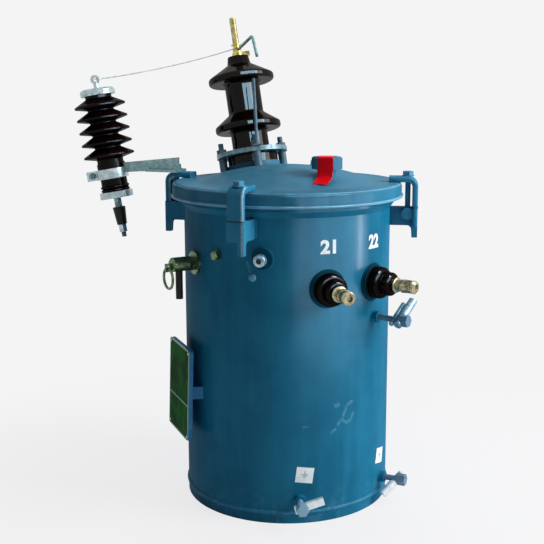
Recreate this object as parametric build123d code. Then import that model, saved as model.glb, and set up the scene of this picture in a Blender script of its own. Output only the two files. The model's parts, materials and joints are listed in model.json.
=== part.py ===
from build123d import *
import os
from math import cos, radians, sin, sqrt

# Single-phase oil-filled distribution transformer, pole type, as delivered with its surge arrester.
# Millimetres and degrees. The origin is on the tank's axis at the floor, +Z is up, the low-voltage
# terminals face -Y and the hanger brackets face +Y. Angles round the tank run from the front, and
# a positive one lies towards +X.

# Fits shared by all pieces
weld_gap = 0.2            # between a curved foot and the curved wall that carries it
hole_clearance = 0.5      # round a bolt or shank in its hole
overrun = 5               # how far a cutting tool reaches past the face that it cuts

# Tank
tank_radius = 210
wall_thickness = 4
tank_top = 642            # top edge of the wall, inside the lid's skirt
floor_height = 26         # underside of the floor plate above the ground
floor_thickness = 5
flange_reach = 9          # top flange beyond the wall
flange_height = 42
flange_flare = 12         # sloping part at the flange's foot
gasket_thickness = 4

# Lid
lid_overhang = 23         # lid edge beyond the tank wall
lid_thickness = 4
lid_skirt = 30
lid_edge_round = 9
lid_hem_round = 3         # lower edge of the skirt
rim_width = 52            # flat ring between the dome and the lid's edge
dome_rise = 32
dome_root_round = 110

# Lid clamps
clamp_angles = {"front_left": -58, "front_right": 46, "rear_left": -145, "rear_right": 128}
jaw_width = 34
jaw_thickness = 11.5
jaw_corner_round = 4
jaw_bend = 15             # bend radius at the middle of the bar
jaw_reach = 26            # tip inside the lid's edge
jaw_standoff = 21         # inner face of the jaw's leg beyond the lid's edge
jaw_drop = 51             # leg end below the rim
clamp_bolt_radius = 5
clamp_bolt_offset = 12    # bolt axis beyond the lid's edge
bolt_washer_radius = 12
bolt_washer_thickness = 2
bolt_head_flat = 9.5      # half the width across flats
bolt_head_height = 8
bracket_web = 12
bracket_web_offset = 11   # web and leg to one side of the flange's middle
bracket_depth = 38        # height of the web and of the outer flange
bracket_flange_width = 36
bracket_flange_round = 5
lift_leg_length = 25      # leg under the flange that keeps a sling in place
lift_leg_taper = 2
lift_notch_round = 9
barrel_radius = 12
barrel_length = 30
barrel_depth = 12         # barrel axis below the bracket's top

# High-voltage bushing, leaning backwards from the dome
hv_lean = 14
hv_inset = 64             # where its axis leaves the dome, inside the dome's edge
hv_boss_radius = 56
hv_boss_height = 6
hv_boss_root = 24         # how far the boss is carried down before it is cut to the dome
hv_collar_radius = 53     # porcelain shoulder under the clamp ring
hv_collar_height = 19
hv_shank_radius = 33
hv_shank_depth = 40
hv_body_radius = 37
hv_foot_radius = 39
hv_shed_radius = 69.5
hv_shed_tip = 13          # thickness at the edge
hv_shed_slope = 24        # height of the sloping top of a shed
hv_shed_tip_round = 5.5
hv_shed_root_round = 8
hv_low_shed = 78          # middle of the shed's edge above the boss
hv_high_shed = 181
hv_neck_radius = 25
hv_neck_height = 214
hv_top_radius = 22
hv_top = 231
ring_radius = 75
ring_thickness = 9
ring_clearance = 0.5
stud_circle = 64
stud_count = 4
stud_turn = -116          # the front stud, which also holds the lower horn
stud_radius = 5
stud_foot_radius = 8.5    # thicker part between the dome and the ring
stud_length_over = 23     # stud above the clamp ring
stud_nut_flat = 9
stud_nut_height = 10
stud_foot = 30            # length below the boss face, before it is cut to the dome
terminal_seat_radius = 11
terminal_seat_height = 9
terminal_nut_radius = 9
terminal_nut_height = 10
terminal_lug_angle = -37
terminal_lug_length = 26
terminal_lug_width = 13
terminal_neck_radius = 7  # where the arrester's lead is held
terminal_neck_height = 6
terminal_washer_radius = 11
terminal_washer_thickness = 2
terminal_radius = 6.4
terminal_length = 57      # plain rod above the washer

# Arcing horns on the bushing
horn_radius = 3.2
horn_bend = 7
horn_tab_width = 18       # tab of the lower horn under the front stud's nut
horn_tab_thickness = 3
horn_tab_back = 12        # tab inwards of the stud
low_horn_reach = 79
low_horn_tip_angle = -106.5
low_horn_height = 138     # tip above the clamp ring
high_horn_angle = -98
high_horn_rise = 10
high_horn_reach = 78
high_horn_drop = 45
high_horn_spread = 8      # tip further out than the bend

# Surge arrester on an arm that the rear left clamp holds
arrester_clamp = "rear_left"
arrester_lean = 10
arrester_reach = 151      # band centre beyond the clamp's bolt
arrester_rise = 3         # band centre above the lid's rim
housing_radius = 28
housing_foot_radius = 30
shed_count = 5
shed_radius = 54
shed_pitch = 26.7
shed_slope = 14
shed_under = 6            # fall of a shed's underside from its edge to the core
shed_tip = 4
shed_tip_round = 1.6
first_shed_height = 39    # middle of the lowest shed's edge above the band's centre
housing_neck = 6.2        # plain core above the top shed
housing_bottom = 39       # below the band's centre
rib_height = 7
rib_depth = 4
foot_collar_height = 12   # thicker foot above the band
band_thickness = 3
band_height = 21
band_clearance = 0.3
ear_length = 25
ear_thickness = 8
top_cap_radius = 37
top_cap_height = 14
top_cap_edge = 4
eye_height = 34           # eye centre above the housing's top
eye_radius = 9.5
eye_hole_radius = 5
eye_thickness = 6
eye_stem_radius = 5.5
bottom_cap_radius = 35.5
bottom_cap_height = 14
ground_nut_flat = 7.5
ground_nut_height = 20
disconnector_top_radius = 13.8
disconnector_end_radius = 10.5
disconnector_length = 39
disconnector_round = 2
lead_nut_flat = 8
lead_nut_height = 16
lead_stud_radius = 4.5
lead_stud_length = 11
arm_thickness = 5
arm_toe = 6               # leaf turned towards the band's middle
arm_foot_length = 72
arm_foot_width = 40
arm_lip = 10              # foot beyond the leaf's outer side
arm_foot_overhang = 13    # foot inwards of the bolt axis
arm_height = 31           # at the clamp
arm_end_height = 20       # at the band
arm_end_drop = 7          # arm's lower edge at the band below the jaw's top
lead_radius = 1.2
lead_bend = 8
lead_tail = 9
lead_sag = 7
lead_spans = 6

# Filler on the front of the dome, with a seal strip over its cap
filler_inset = 53         # filler axis inside the dome's edge
filler_neck_radius = 19
filler_neck_height = 16   # at its axis above the dome
filler_spigot_radius = 14
filler_spigot_depth = 12
filler_cap_flat = 26      # half the width across flats
filler_cap_height = 24
filler_cap_edge = 3
filler_turn = -45         # direction of the strip from the filler's axis
strip_width = 29
strip_thickness = 1.2
strip_lift = 0.3
strip_tail = 27
strip_toe_lift = 2.5      # the stiff strip's end above the dome
strip_bend = 4

# Low-voltage bushings
lv_angles = {"left": -15.6, "right": 15.6}
lv_drop = 177             # below the wall's top edge
lv_boss_radius = 35
lv_boss_height = 4        # at its axis beyond the wall
lv_base_radius = 31
lv_base_length = 24
lv_groove_radius = 19
lv_groove_width = 4
lv_head_radius = 23
lv_head_length = 17
lv_round = 8
lv_head_round = 2.5       # edge of the head beside the groove
lv_groove_round = 1
lv_collar_radius = 13
lv_collar_length = 4
lv_shank_radius = 16
lv_shank_depth = 30
lv_nut_flat = 11
lv_nut_length = 11
lv_neck_radius = 7
lv_neck_length = 4
lv_stud_radius = 12.5
lv_stud_length = 30
lv_stud_edge = 3
lv_end_hole = 6           # shallow hole in the stud's end
lv_end_depth = 5
lv_wire_hole = 4.5
lv_screw_radius = 5
lv_screw_length = 3       # clamping screw's head beyond the stud

# Pressure relief valve with its pull ring and drain tube
valve_angle = -95.2
valve_drop = 142
valve_flange_radius = 23
valve_flange_length = 6
valve_hex_flat = 13
valve_hex_length = 14
valve_body_radius = 14
valve_body_length = 34
valve_body_edge = 3
valve_lug_length = 12
valve_lug_thickness = 5
valve_lug_height = 16
valve_lug_drop = 5        # lug below the valve's axis
valve_hole_radius = 3.6
valve_hole_inset = 6      # hole centre from the lug's end
pull_ring_radius = 20
pull_ring_wire = 2.6
pull_ring_play = 0.2
tube_radius = 7
tube_bore = 4.5
tube_length = 58
tube_socket = 4           # depth of the tube's end in the valve's side

# Level plug and tap knob on the left of the front
plug_angle = -76
plug_drop = 118.5
plug_seat_radius = 9.5
plug_seat_length = 4
plug_flat = 8
plug_length = 7
knob_angle = -49.5
knob_drop = 118
knob_seat_radius = 20
knob_seat_length = 7
knob_neck_radius = 8
knob_neck_length = 10
knob_radius = 12
knob_length = 14
knob_round = 5
knob_hole_radius = 5      # socket in the knob's end
knob_hole_depth = 6

# Ground terminals: angle of each, and turn of its clamp bar and lean of the bar back to the wall
ground_angles = {"neutral": 17, "left": -30.5, "right": 28}
ground_turns = {"neutral": 32, "left": 17, "right": 221}
ground_leans = {"neutral": 0, "left": 0, "right": 28}
ground_foot_height = 49   # the two low ones above the floor
neutral_drop = 70         # the third below the low-voltage bushings
ground_boss_radius = 11
ground_boss_height = 12   # at its axis beyond the wall
ground_stud_radius = 6
ground_stud_length = 18
neutral_stud_length = 40
ground_bar_radius = 8.5
ground_bar_length = 58
neutral_bar_length = 70
keeper_length = 58        # second bar on the third one, nearer the tank
keeper_radius = 5
keeper_gap = 1            # between the two bars
ground_bar_overhang = 14  # short end of the bar beyond the stud
ground_head_flat = 10.5
ground_head_length = 9

# Name plate on its bracket
plate_angle = -104.5
plate_width = 130
plate_height = 183
plate_bottom = 146
plate_thickness = 1.5
plate_corner = 5
backing_thickness = 8
plate_lean = 2            # lower edge further out than the upper one
plate_standoff = 18       # backing beyond the tank wall, at its middle
strap_height = 25
strap_thickness = 3
strap_leg_inset = 10
strap_rise = 3            # strap above the plate's middle

# Hanger brackets for the pole
hanger_spacing = 286
hanger_drop = 182         # upper slot's centre below the wall's top edge
hanger_width = 96
hanger_height = 72
hanger_standoff = 66      # back face beyond the tank wall
hanger_plate = 8
hanger_round = 9
slot_radius = 9
slot_length = 40

# Heights and reaches that several pieces share
rim_top = tank_top + gasket_thickness + lid_thickness
lid_radius = tank_radius + lid_overhang
dome_span = lid_radius - rim_width
dome_radius = (dome_span**2 + dome_rise**2) / (2 * dome_rise)
jaw_top = rim_top + jaw_thickness
bracket_top = rim_top - jaw_drop
jaw_inner = lid_radius + jaw_standoff
jaw_outer = jaw_inner + jaw_thickness
clamp_bolt_axis = lid_radius + clamp_bolt_offset
barrel_axis = bracket_top - barrel_depth
hv_offset = dome_span - hv_inset
filler_offset = dome_span - filler_inset
arrester_offset = clamp_bolt_axis + arrester_reach
last_shed_height = first_shed_height + (shed_count - 1) * shed_pitch
housing_top = last_shed_height + shed_tip / 2 + shed_slope + housing_neck
lv_height = tank_top - lv_drop
valve_height = tank_top - valve_drop
plug_height = tank_top - plug_drop
knob_height = tank_top - knob_drop
hanger_high = tank_top - hanger_drop


# Working planes

def on_wall(angle, height, radius=tank_radius):
    # x runs round the tank, y up and z straight out
    turn = radians(angle)
    return Plane(
        origin=(radius * sin(turn), -radius * cos(turn), height),
        x_dir=(cos(turn), sin(turn), 0),
        z_dir=(sin(turn), -cos(turn), 0),
    )


def upright(angle):
    # a plane through the tank's axis: x runs out from the axis and y up
    turn = radians(angle)
    return Plane(
        origin=(0, 0, 0),
        x_dir=(sin(turn), -cos(turn), 0),
        z_dir=(-cos(turn), -sin(turn), 0),
    )


def dome_height(radius):
    return rim_top + dome_rise - dome_radius + sqrt(dome_radius**2 - radius**2)


hv_seat = Plane(
    origin=(
        0,
        hv_offset + hv_boss_height * sin(radians(hv_lean)),
        dome_height(hv_offset) + hv_boss_height * cos(radians(hv_lean)),
    ),
    x_dir=(1, 0, 0),
    z_dir=(0, sin(radians(hv_lean)), cos(radians(hv_lean))),
)
arrester_side = upright(clamp_angles[arrester_clamp])
arrester_axis = arrester_side * Pos(arrester_offset, rim_top + arrester_rise)
arrester_axis = Plane(arrester_axis * Rot(0, 0, -arrester_lean) * Rot(-90, 0, 0))


# Simple forms

def post(radius, length, start=0):
    return Pos(0, 0, start) * Cylinder(radius, length, align=(Align.CENTER, Align.CENTER, Align.MIN))


def hexagon(half_flat, length, start=0):
    return Pos(0, 0, start) * extrude(RegularPolygon(half_flat, 6, major_radius=False), length)


def turned(points, rounds):
    outline = FilletPolyline(*[(r, 0, z) for r, z in points], radius=rounds, close=True)
    return revolve(make_face(outline), Axis.Z)


def bent_rod(points, bends, radius):
    path = FilletPolyline(*points, radius=bends)
    start = Plane(origin=path @ 0, z_dir=path % 0)
    return sweep(start * Circle(radius), path=path)


def tank_core(grow=0):
    return post(tank_radius + grow, rim_top, -overrun)


def lid_form(grow, root_round, edge_round, bottom):
    # the lid as if it were solid, grown by the same amount on top and at the edge
    rim = rim_top + grow
    edge = lid_radius + grow
    half_span = dome_span / 2
    crown = (0, 0, rim + dome_rise)
    cap = ThreePointArc(
        crown,
        (half_span, 0, dome_height(half_span) + grow),
        (dome_span, 0, rim),
    )
    rest = Polyline((dome_span, 0, rim), (edge, 0, rim), (edge, 0, bottom), (0, 0, bottom), crown)
    face = make_face(cap.edges() + rest.edges()).face()
    root = face.vertices().sort_by_distance((dome_span, 0, rim))[0]
    face = face.fillet_2d(root_round, [root])
    corner = face.vertices().sort_by_distance((edge, 0, rim))[0]
    face = face.fillet_2d(edge_round, [corner])
    return revolve(face, Axis.Z)


def over_lid(piece):
    # trims a piece that stands on the lid to the dome under it
    return piece - lid_form(weld_gap, dome_root_round, lid_edge_round, rim_top - lid_skirt)


def against_tank(piece):
    return piece - tank_core(weld_gap)


# Tank

def tank_wall():
    wall = post(tank_radius, tank_top) - post(tank_radius - wall_thickness, tank_top + 2 * overrun, -overrun)
    for angle in lv_angles.values():
        hole = post(lv_shank_radius + hole_clearance, 2 * lv_shank_depth, -lv_shank_depth)
        wall -= on_wall(angle, lv_height) * hole
    return wall


def tank_floor():
    return post(tank_radius - wall_thickness - weld_gap, floor_thickness, floor_height)


def tank_top_flange():
    inner = tank_radius + weld_gap
    outer = tank_radius + flange_reach
    foot = tank_top - flange_height
    points = [(inner, foot), (outer, foot + flange_flare), (outer, tank_top), (inner, tank_top)]
    return turned(points, 0)


def lid_gasket():
    outer = post(tank_radius + flange_reach, gasket_thickness, tank_top)
    return outer - post(tank_radius - wall_thickness, gasket_thickness + 2 * overrun, tank_top - overrun)


def lid():
    bottom = rim_top - lid_skirt
    outside = lid_form(0, dome_root_round, lid_edge_round, bottom)
    inside = lid_form(
        -lid_thickness,
        dome_root_round + lid_thickness,
        lid_edge_round - lid_thickness,
        bottom - overrun,
    )
    shell = outside - inside
    hem = shell.edges().filter_by(GeomType.CIRCLE).group_by(Axis.Z)[0].sort_by(SortBy.RADIUS)[-1]
    shell = fillet(hem, lid_hem_round)
    shell -= hv_seat * post(hv_shank_radius + hole_clearance, 2 * hv_shank_depth, -hv_shank_depth)
    spigot = post(filler_spigot_radius + hole_clearance, rim_top)
    return shell - Pos(0, -filler_offset, dome_height(filler_offset) - filler_spigot_depth) * spigot


# Lid clamps

def clamp_jaw(angle):
    # a flat bar with rounded edges, bent down over the lid's edge
    middle = rim_top + jaw_thickness / 2
    spine = jaw_inner + jaw_thickness / 2
    tip = lid_radius - jaw_reach
    side = upright(angle)
    points = [side.from_local_coords(p) for p in ((tip, middle), (spine, middle), (spine, bracket_top))]
    path = FilletPolyline(*points, radius=jaw_bend)
    section = Plane(origin=path @ 0, x_dir=(0, 0, 1), z_dir=path % 0)
    bar = sweep(section * RectangleRounded(jaw_thickness, jaw_width, jaw_corner_round), path=path)
    hole = post(clamp_bolt_radius + hole_clearance, 2 * jaw_thickness, rim_top - jaw_thickness / 2)
    return bar - Location(side.from_local_coords((clamp_bolt_axis, 0))) * hole


def clamp_bracket(angle):
    # radial web with an outer flange, a leg under it and a cross barrel for the bolt
    side = upright(angle)
    web_bottom = bracket_top - bracket_depth
    leg_end = web_bottom - lift_leg_length
    root = tank_radius - wall_thickness
    points = [
        (root, web_bottom),
        (jaw_inner - lift_leg_taper, web_bottom),
        (jaw_inner, leg_end),
        (jaw_outer, leg_end),
        (jaw_outer, bracket_top),
        (root, bracket_top),
    ]
    outline = FilletPolyline(*points, radius=[0, lift_notch_round, 0, 0, 0, 0], close=True)
    web_side = side * Pos(0, 0, -bracket_web_offset)
    web = extrude(web_side * make_face(outline), bracket_web / 2, both=True)
    flange_face = RectangleRounded(jaw_thickness, bracket_flange_width, bracket_flange_round)
    flange = extrude(flange_face, bracket_depth)
    standing = Plane(
        origin=side.from_local_coords((jaw_inner + jaw_thickness / 2, web_bottom)),
        x_dir=side.x_dir,
        z_dir=(0, 0, 1),
    )
    barrel = side * Pos(clamp_bolt_axis, barrel_axis) * Cylinder(barrel_radius, barrel_length)
    hole_length = barrel_depth + barrel_radius + overrun
    hole = post(clamp_bolt_radius + hole_clearance, hole_length, barrel_axis - barrel_radius)
    body = against_tank(web + standing * flange + barrel)
    return body - Location(side.from_local_coords((clamp_bolt_axis, 0))) * hole


def clamp_bolt(angle, seat):
    foot = barrel_axis - barrel_radius + hole_clearance
    bolt = post(clamp_bolt_radius, seat - foot, foot)
    bolt += post(bolt_washer_radius, bolt_washer_thickness, seat)
    bolt += hexagon(bolt_head_flat, bolt_head_height, seat + bolt_washer_thickness)
    return Location(upright(angle).from_local_coords((clamp_bolt_axis, 0))) * bolt


def clamp_bolts():
    bolts = []
    for name, angle in clamp_angles.items():
        lift = arm_thickness if name == arrester_clamp else 0
        bolts.append(clamp_bolt(angle, jaw_top + lift))
    return bolts


# High-voltage bushing

def hv_boss():
    depth = hv_boss_height + hv_boss_root
    ring = post(hv_boss_radius, depth, -depth)
    ring -= post(hv_shank_radius + hole_clearance, depth + 2 * overrun, -depth - overrun)
    return over_lid(hv_seat * ring)


def shed_points(edge_height, root_below, root_above):
    half_tip = hv_shed_tip / 2
    return [
        (root_below, edge_height - half_tip),
        (hv_shed_radius, edge_height - half_tip),
        (hv_shed_radius, edge_height + half_tip),
        (root_above, edge_height + half_tip + hv_shed_slope),
    ]


def hv_bushing():
    points = [(0, -hv_shank_depth), (hv_shank_radius, -hv_shank_depth), (hv_shank_radius, 0)]
    rounds = [0, 0, 0]
    points += [(hv_collar_radius, 0), (hv_collar_radius, hv_collar_height)]
    points += [(hv_foot_radius, hv_collar_height)]
    rounds += [0, 0, 0]
    shed_rounds = [hv_shed_root_round, hv_shed_tip_round, hv_shed_tip_round, hv_shed_root_round]
    points += shed_points(hv_low_shed, hv_foot_radius, hv_body_radius)
    rounds += shed_rounds
    points += shed_points(hv_high_shed, hv_body_radius, hv_neck_radius)[:3]
    rounds += shed_rounds[:3]
    points += [(hv_neck_radius, hv_neck_height), (hv_top_radius, hv_top), (0, hv_top)]
    rounds += [hv_shed_root_round, 0, 0]
    return hv_seat * turned(points, rounds)


def hv_clamp_ring():
    ring = post(ring_radius, ring_thickness, hv_collar_height)
    ring -= post(hv_foot_radius + ring_clearance, ring_thickness + 2 * overrun, hv_collar_height - overrun)
    hole = post(stud_radius + hole_clearance, ring_thickness + 2 * overrun, hv_collar_height - overrun)
    for place in stud_places():
        ring -= place * hole
    return hv_seat * ring


def stud_places():
    step = 360 / stud_count
    return [Rot(0, 0, stud_turn + index * step) * Pos(stud_circle) for index in range(stud_count)]


def hv_stud(place, seat):
    # welded foot on the dome, thread through the ring and a nut on the seat
    stud = post(stud_radius, seat + stud_length_over)
    stud += post(stud_foot_radius, stud_foot + hv_collar_height, -stud_foot)
    stud += hexagon(stud_nut_flat, stud_nut_height, seat)
    return over_lid(hv_seat * (place * stud - post(hv_boss_radius + weld_gap, stud_foot, -stud_foot)))


def hv_studs():
    ring_top = hv_collar_height + ring_thickness
    front, *others = stud_places()
    return [hv_stud(front, ring_top + horn_tab_thickness)] + [hv_stud(place, ring_top) for place in others]


terminal_nut_start = hv_top + terminal_seat_height
terminal_neck_start = terminal_nut_start + terminal_nut_height
terminal_washer_start = terminal_neck_start + terminal_neck_height
terminal_rod_start = terminal_washer_start + terminal_washer_thickness


def hv_terminal():
    body = post(terminal_seat_radius, terminal_seat_height, hv_top)
    lug_side = (Align.MIN, Align.CENTER, Align.MIN)
    lug = Box(terminal_lug_length, terminal_lug_width, terminal_seat_height, align=lug_side)
    body += Rot(0, 0, terminal_lug_angle) * Pos(0, 0, hv_top) * lug
    body += post(terminal_nut_radius, terminal_nut_height, terminal_nut_start)
    body += post(terminal_neck_radius, terminal_neck_height, terminal_neck_start)
    body += post(terminal_washer_radius, terminal_washer_thickness, terminal_washer_start)
    body += post(terminal_radius, terminal_length, terminal_rod_start)
    return hv_seat * body


def round_axis(angle, reach, height):
    # a point round the bushing's axis
    return hv_seat.from_local_coords((reach * cos(radians(angle)), reach * sin(radians(angle)), height))


def lower_arcing_horn():
    # a flat tab on the clamp ring with a straight rod up from its end
    ring_top = hv_collar_height + ring_thickness
    tab_start = stud_circle - horn_tab_back
    tab_length = low_horn_reach + horn_tab_width / 2 - tab_start
    tab = Box(tab_length, horn_tab_width, horn_tab_thickness, align=(Align.MIN, Align.CENTER, Align.MIN))
    tab = hv_seat * Rot(0, 0, stud_turn) * Pos(tab_start, 0, ring_top) * tab
    tab -= hv_seat * stud_places()[0] * post(stud_radius + hole_clearance, 2 * ring_top)
    foot = Vector(round_axis(stud_turn, low_horn_reach, ring_top + horn_tab_thickness / 2))
    tip = Vector(round_axis(low_horn_tip_angle, low_horn_reach, ring_top + low_horn_height))
    return tab + Plane(origin=foot, z_dir=tip - foot) * post(horn_radius, (tip - foot).length)


def upper_arcing_horn():
    start = terminal_nut_start + terminal_nut_height / 2
    bend = start + high_horn_rise
    points = [
        round_axis(high_horn_angle, 0, start),
        round_axis(high_horn_angle, high_horn_reach, bend),
        round_axis(high_horn_angle, high_horn_reach + high_horn_spread, bend - high_horn_drop),
    ]
    rod = bent_rod(points, horn_bend, horn_radius)
    nut_height = terminal_nut_height + terminal_neck_height
    return rod - hv_seat * post(terminal_nut_radius + weld_gap, nut_height, terminal_nut_start)


# Surge arrester

def arrester_housing():
    # ribbed foot under the band, then the sheds with drooping tops
    points = [(0, -housing_bottom), (housing_radius, -housing_bottom)]
    rounds = [0, 0]
    rib = -housing_bottom
    for _ in range(2):
        points += [(housing_radius + rib_depth, rib + rib_height / 2), (housing_radius, rib + rib_height)]
        rounds += [rib_depth / 2, 0]
        rib += rib_height
    points += [(housing_radius, -band_height / 2), (housing_foot_radius, -band_height / 2)]
    collar_top = band_height / 2 + foot_collar_height
    points += [(housing_foot_radius, collar_top), (housing_radius, collar_top)]
    rounds += [0, 0, 0, 0]
    for index in range(shed_count):
        edge = first_shed_height + index * shed_pitch
        points += [(housing_radius, edge - shed_tip / 2 - shed_under), (shed_radius, edge - shed_tip / 2)]
        points += [(shed_radius, edge + shed_tip / 2), (housing_radius, edge + shed_tip / 2 + shed_slope)]
        rounds += [shed_tip_round, shed_tip_round, shed_tip_round, shed_tip_round]
    points += [(housing_radius, housing_top), (0, housing_top)]
    rounds += [0, 0]
    return arrester_axis * turned(points, rounds)


def arrester_band():
    # strap round the housing, with the bolted ear on its far side
    inner = housing_foot_radius + band_clearance
    outer = inner + band_thickness
    strap = post(outer, band_height, -band_height / 2)
    ear = Pos(outer + ear_length / 2) * Box(ear_length + 2 * band_thickness, ear_thickness, band_height)
    strap += ear
    strap -= post(inner, band_height + 2 * overrun, -band_height / 2 - overrun)
    return arrester_axis * strap


def arrester_arm():
    # angle arm: a foot under the clamp's bolt head and an upright tapering leaf out to the band
    foot_start = clamp_bolt_axis - arm_foot_overhang
    foot = Pos(foot_start + arm_foot_length / 2, jaw_top + arm_thickness / 2)
    foot = foot * Pos(0, 0, -arm_lip / 2) * Box(arm_foot_length, arm_thickness, arm_foot_width + arm_lip)
    end_bottom = jaw_top - arm_end_drop
    leaf_end = arrester_offset - foot_start
    leaf_points = [
        (0, jaw_top),
        (arm_foot_length, jaw_top),
        (leaf_end, end_bottom),
        (leaf_end, end_bottom + arm_end_height),
        (0, jaw_top + arm_height),
    ]
    leaf_side = Pos(foot_start, 0, -(arm_foot_width - arm_thickness) / 2) * Rot(0, -arm_toe, 0)
    leaf_face = make_face(Polyline(*leaf_points, close=True))
    leaf = extrude(arrester_side * leaf_side * leaf_face, arm_thickness / 2, both=True)
    hole = post(clamp_bolt_radius + hole_clearance, rim_top, jaw_top - overrun)
    band_reach = housing_foot_radius + band_clearance + band_thickness
    arm = arrester_side * foot + leaf - Location(arrester_side.from_local_coords((clamp_bolt_axis, 0))) * hole
    return arm - arrester_axis * post(band_reach + weld_gap, rim_top, -rim_top / 2)


def arrester_top_cap():
    cap = post(top_cap_radius, top_cap_height, housing_top)
    cap = chamfer(cap.faces().sort_by(Axis.Z)[-1].edges(), top_cap_edge)
    eye_centre = housing_top + eye_height
    stem = post(eye_stem_radius, eye_height, housing_top)
    eye = Pos(0, 0, eye_centre) * Rot(90, 0, 0) * Cylinder(eye_radius, eye_thickness)
    hole = Pos(0, 0, eye_centre) * Rot(90, 0, 0) * Cylinder(eye_hole_radius, eye_thickness + 2 * overrun)
    return arrester_axis * (cap + stem + eye - hole)


def arrester_bottom_cap():
    return arrester_axis * post(bottom_cap_radius, bottom_cap_height, -housing_bottom - bottom_cap_height)


nut_end = -housing_bottom - bottom_cap_height - ground_nut_height
disconnector_end = nut_end - disconnector_length
lead_nut_end = disconnector_end - lead_nut_height


def arrester_ground_nut():
    return arrester_axis * hexagon(ground_nut_flat, ground_nut_height, nut_end)


def arrester_disconnector():
    points = [
        (0, disconnector_end),
        (disconnector_end_radius, disconnector_end),
        (disconnector_top_radius, nut_end),
        (0, nut_end),
    ]
    return arrester_axis * turned(points, [0, disconnector_round, disconnector_round, 0])


def arrester_ground_stud():
    stud = hexagon(lead_nut_flat, lead_nut_height, lead_nut_end)
    return arrester_axis * (stud + post(lead_stud_radius, lead_stud_length, lead_nut_end - lead_stud_length))


def arrester_lead():
    # bare wire from the eye to the bushing's terminal, with a little slack
    play = eye_hole_radius - lead_radius - weld_gap
    eye = Vector(arrester_axis.from_local_coords((0, 0, housing_top + eye_height)))
    across = arrester_axis.y_dir
    rod = Vector(hv_seat.from_local_coords((0, 0, terminal_neck_start + terminal_neck_height / 2)))
    beside = (rod - eye).cross(hv_seat.z_dir).normalized()
    target = rod - beside * (terminal_neck_radius + lead_radius + weld_gap)
    towards = (target - eye).normalized()
    inside = (towards - across * towards.dot(across)).normalized() * play
    side = -1 if towards.dot(across) < 0 else 1
    start = eye + inside - across * (side * lead_tail)
    turn = eye + inside + across * (side * lead_tail)
    stop = target + (target - turn).normalized() * terminal_neck_radius
    points = [start, turn]
    for index in range(1, lead_spans):
        share = index / lead_spans
        points.append(turn + (stop - turn) * share - Vector(0, 0, 4 * lead_sag * share * (1 - share)))
    points.append(stop)
    bends = [lead_bend] + [lead_bend * lead_spans] * (lead_spans - 1)
    return bent_rod(points, bends, lead_radius)


# Filler

filler_foot = dome_height(filler_offset)
filler_cap_start = filler_foot + filler_neck_height
filler_top = filler_cap_start + filler_cap_height


def filler_neck():
    root = filler_foot - filler_neck_radius
    neck = post(filler_neck_radius, filler_neck_height + filler_neck_radius, root)
    neck = over_lid(Pos(0, -filler_offset) * neck)
    depth = filler_spigot_depth + filler_neck_height
    return neck + Pos(0, -filler_offset) * post(filler_spigot_radius, depth, filler_foot - filler_spigot_depth)


def filler_cap():
    cap = hexagon(filler_cap_flat, filler_cap_height)
    cap = chamfer(cap.faces().sort_by(Axis.Z)[-1].edges(), filler_cap_edge)
    turn = Rot(0, 0, filler_turn)
    return Pos(0, -filler_offset, filler_cap_start) * turn * cap


def seal_strip():
    # laid over the cap, down its side and out along the dome
    crown = filler_cap_height + strip_lift
    side = filler_cap_flat + strip_lift
    turn = radians(filler_turn)
    toe = side + strip_tail
    toe_spot = Vector(toe * sin(turn), -filler_offset - toe * cos(turn))
    heel_spot = Vector(side * sin(turn), -filler_offset - side * cos(turn))
    heel = dome_height(heel_spot.length) - filler_cap_start + 2 * strip_bend
    toe_height = dome_height(toe_spot.length) - filler_cap_start + strip_toe_lift
    points = [(0, crown), (side, crown), (side, heel), (toe, toe_height)]
    path = FilletPolyline(*points, radius=[strip_bend, strip_bend])
    band = make_face(path.edges() + offset_outline(path))
    strip = extrude(upright(filler_turn) * band, strip_width / 2, both=True)
    return Pos(0, -filler_offset, filler_cap_start) * strip


def offset_outline(path):
    # the strip's outer side and its two ends
    outer = path.offset_2d(strip_thickness, side=Side.LEFT, closed=False)
    if (outer.bounding_box().max.Y) < path.bounding_box().max.Y + strip_thickness / 2:
        outer = path.offset_2d(strip_thickness, side=Side.RIGHT, closed=False)
    ends = sorted((outer @ 0, outer @ 1), key=lambda p: (p - path @ 0).length)
    return outer.edges() + [Line(path @ 0, ends[0]).edge(), Line(path @ 1, ends[1]).edge()]


# Low-voltage bushings

def lv_boss(angle):
    boss = post(lv_boss_radius, lv_boss_height + wall_thickness, -wall_thickness)
    boss -= post(lv_shank_radius + hole_clearance, lv_boss_height + 2 * lv_shank_depth, -lv_shank_depth)
    return against_tank(on_wall(angle, lv_height) * boss)


def lv_bosses():
    return [lv_boss(angle) for angle in lv_angles.values()]


lv_groove = lv_boss_height + lv_base_length
lv_head = lv_groove + lv_groove_width
lv_collar = lv_head + lv_head_length
lv_porcelain_end = lv_collar + lv_collar_length


def lv_bushing(angle):
    points = [
        (0, lv_boss_height - lv_shank_depth),
        (lv_shank_radius, lv_boss_height - lv_shank_depth),
        (lv_shank_radius, lv_boss_height),
        (lv_base_radius, lv_boss_height),
        (lv_base_radius, lv_groove),
        (lv_groove_radius, lv_groove),
        (lv_groove_radius, lv_head),
        (lv_head_radius, lv_head),
        (lv_head_radius, lv_collar),
        (lv_collar_radius, lv_collar),
        (lv_collar_radius, lv_porcelain_end),
        (0, lv_porcelain_end),
    ]
    rounds = [0, 0, 0, 0, lv_round, lv_groove_round, lv_groove_round]
    rounds += [lv_head_round, lv_round, lv_groove_round, 0, 0]
    return on_wall(angle, lv_height) * turned(points, rounds)


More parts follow.
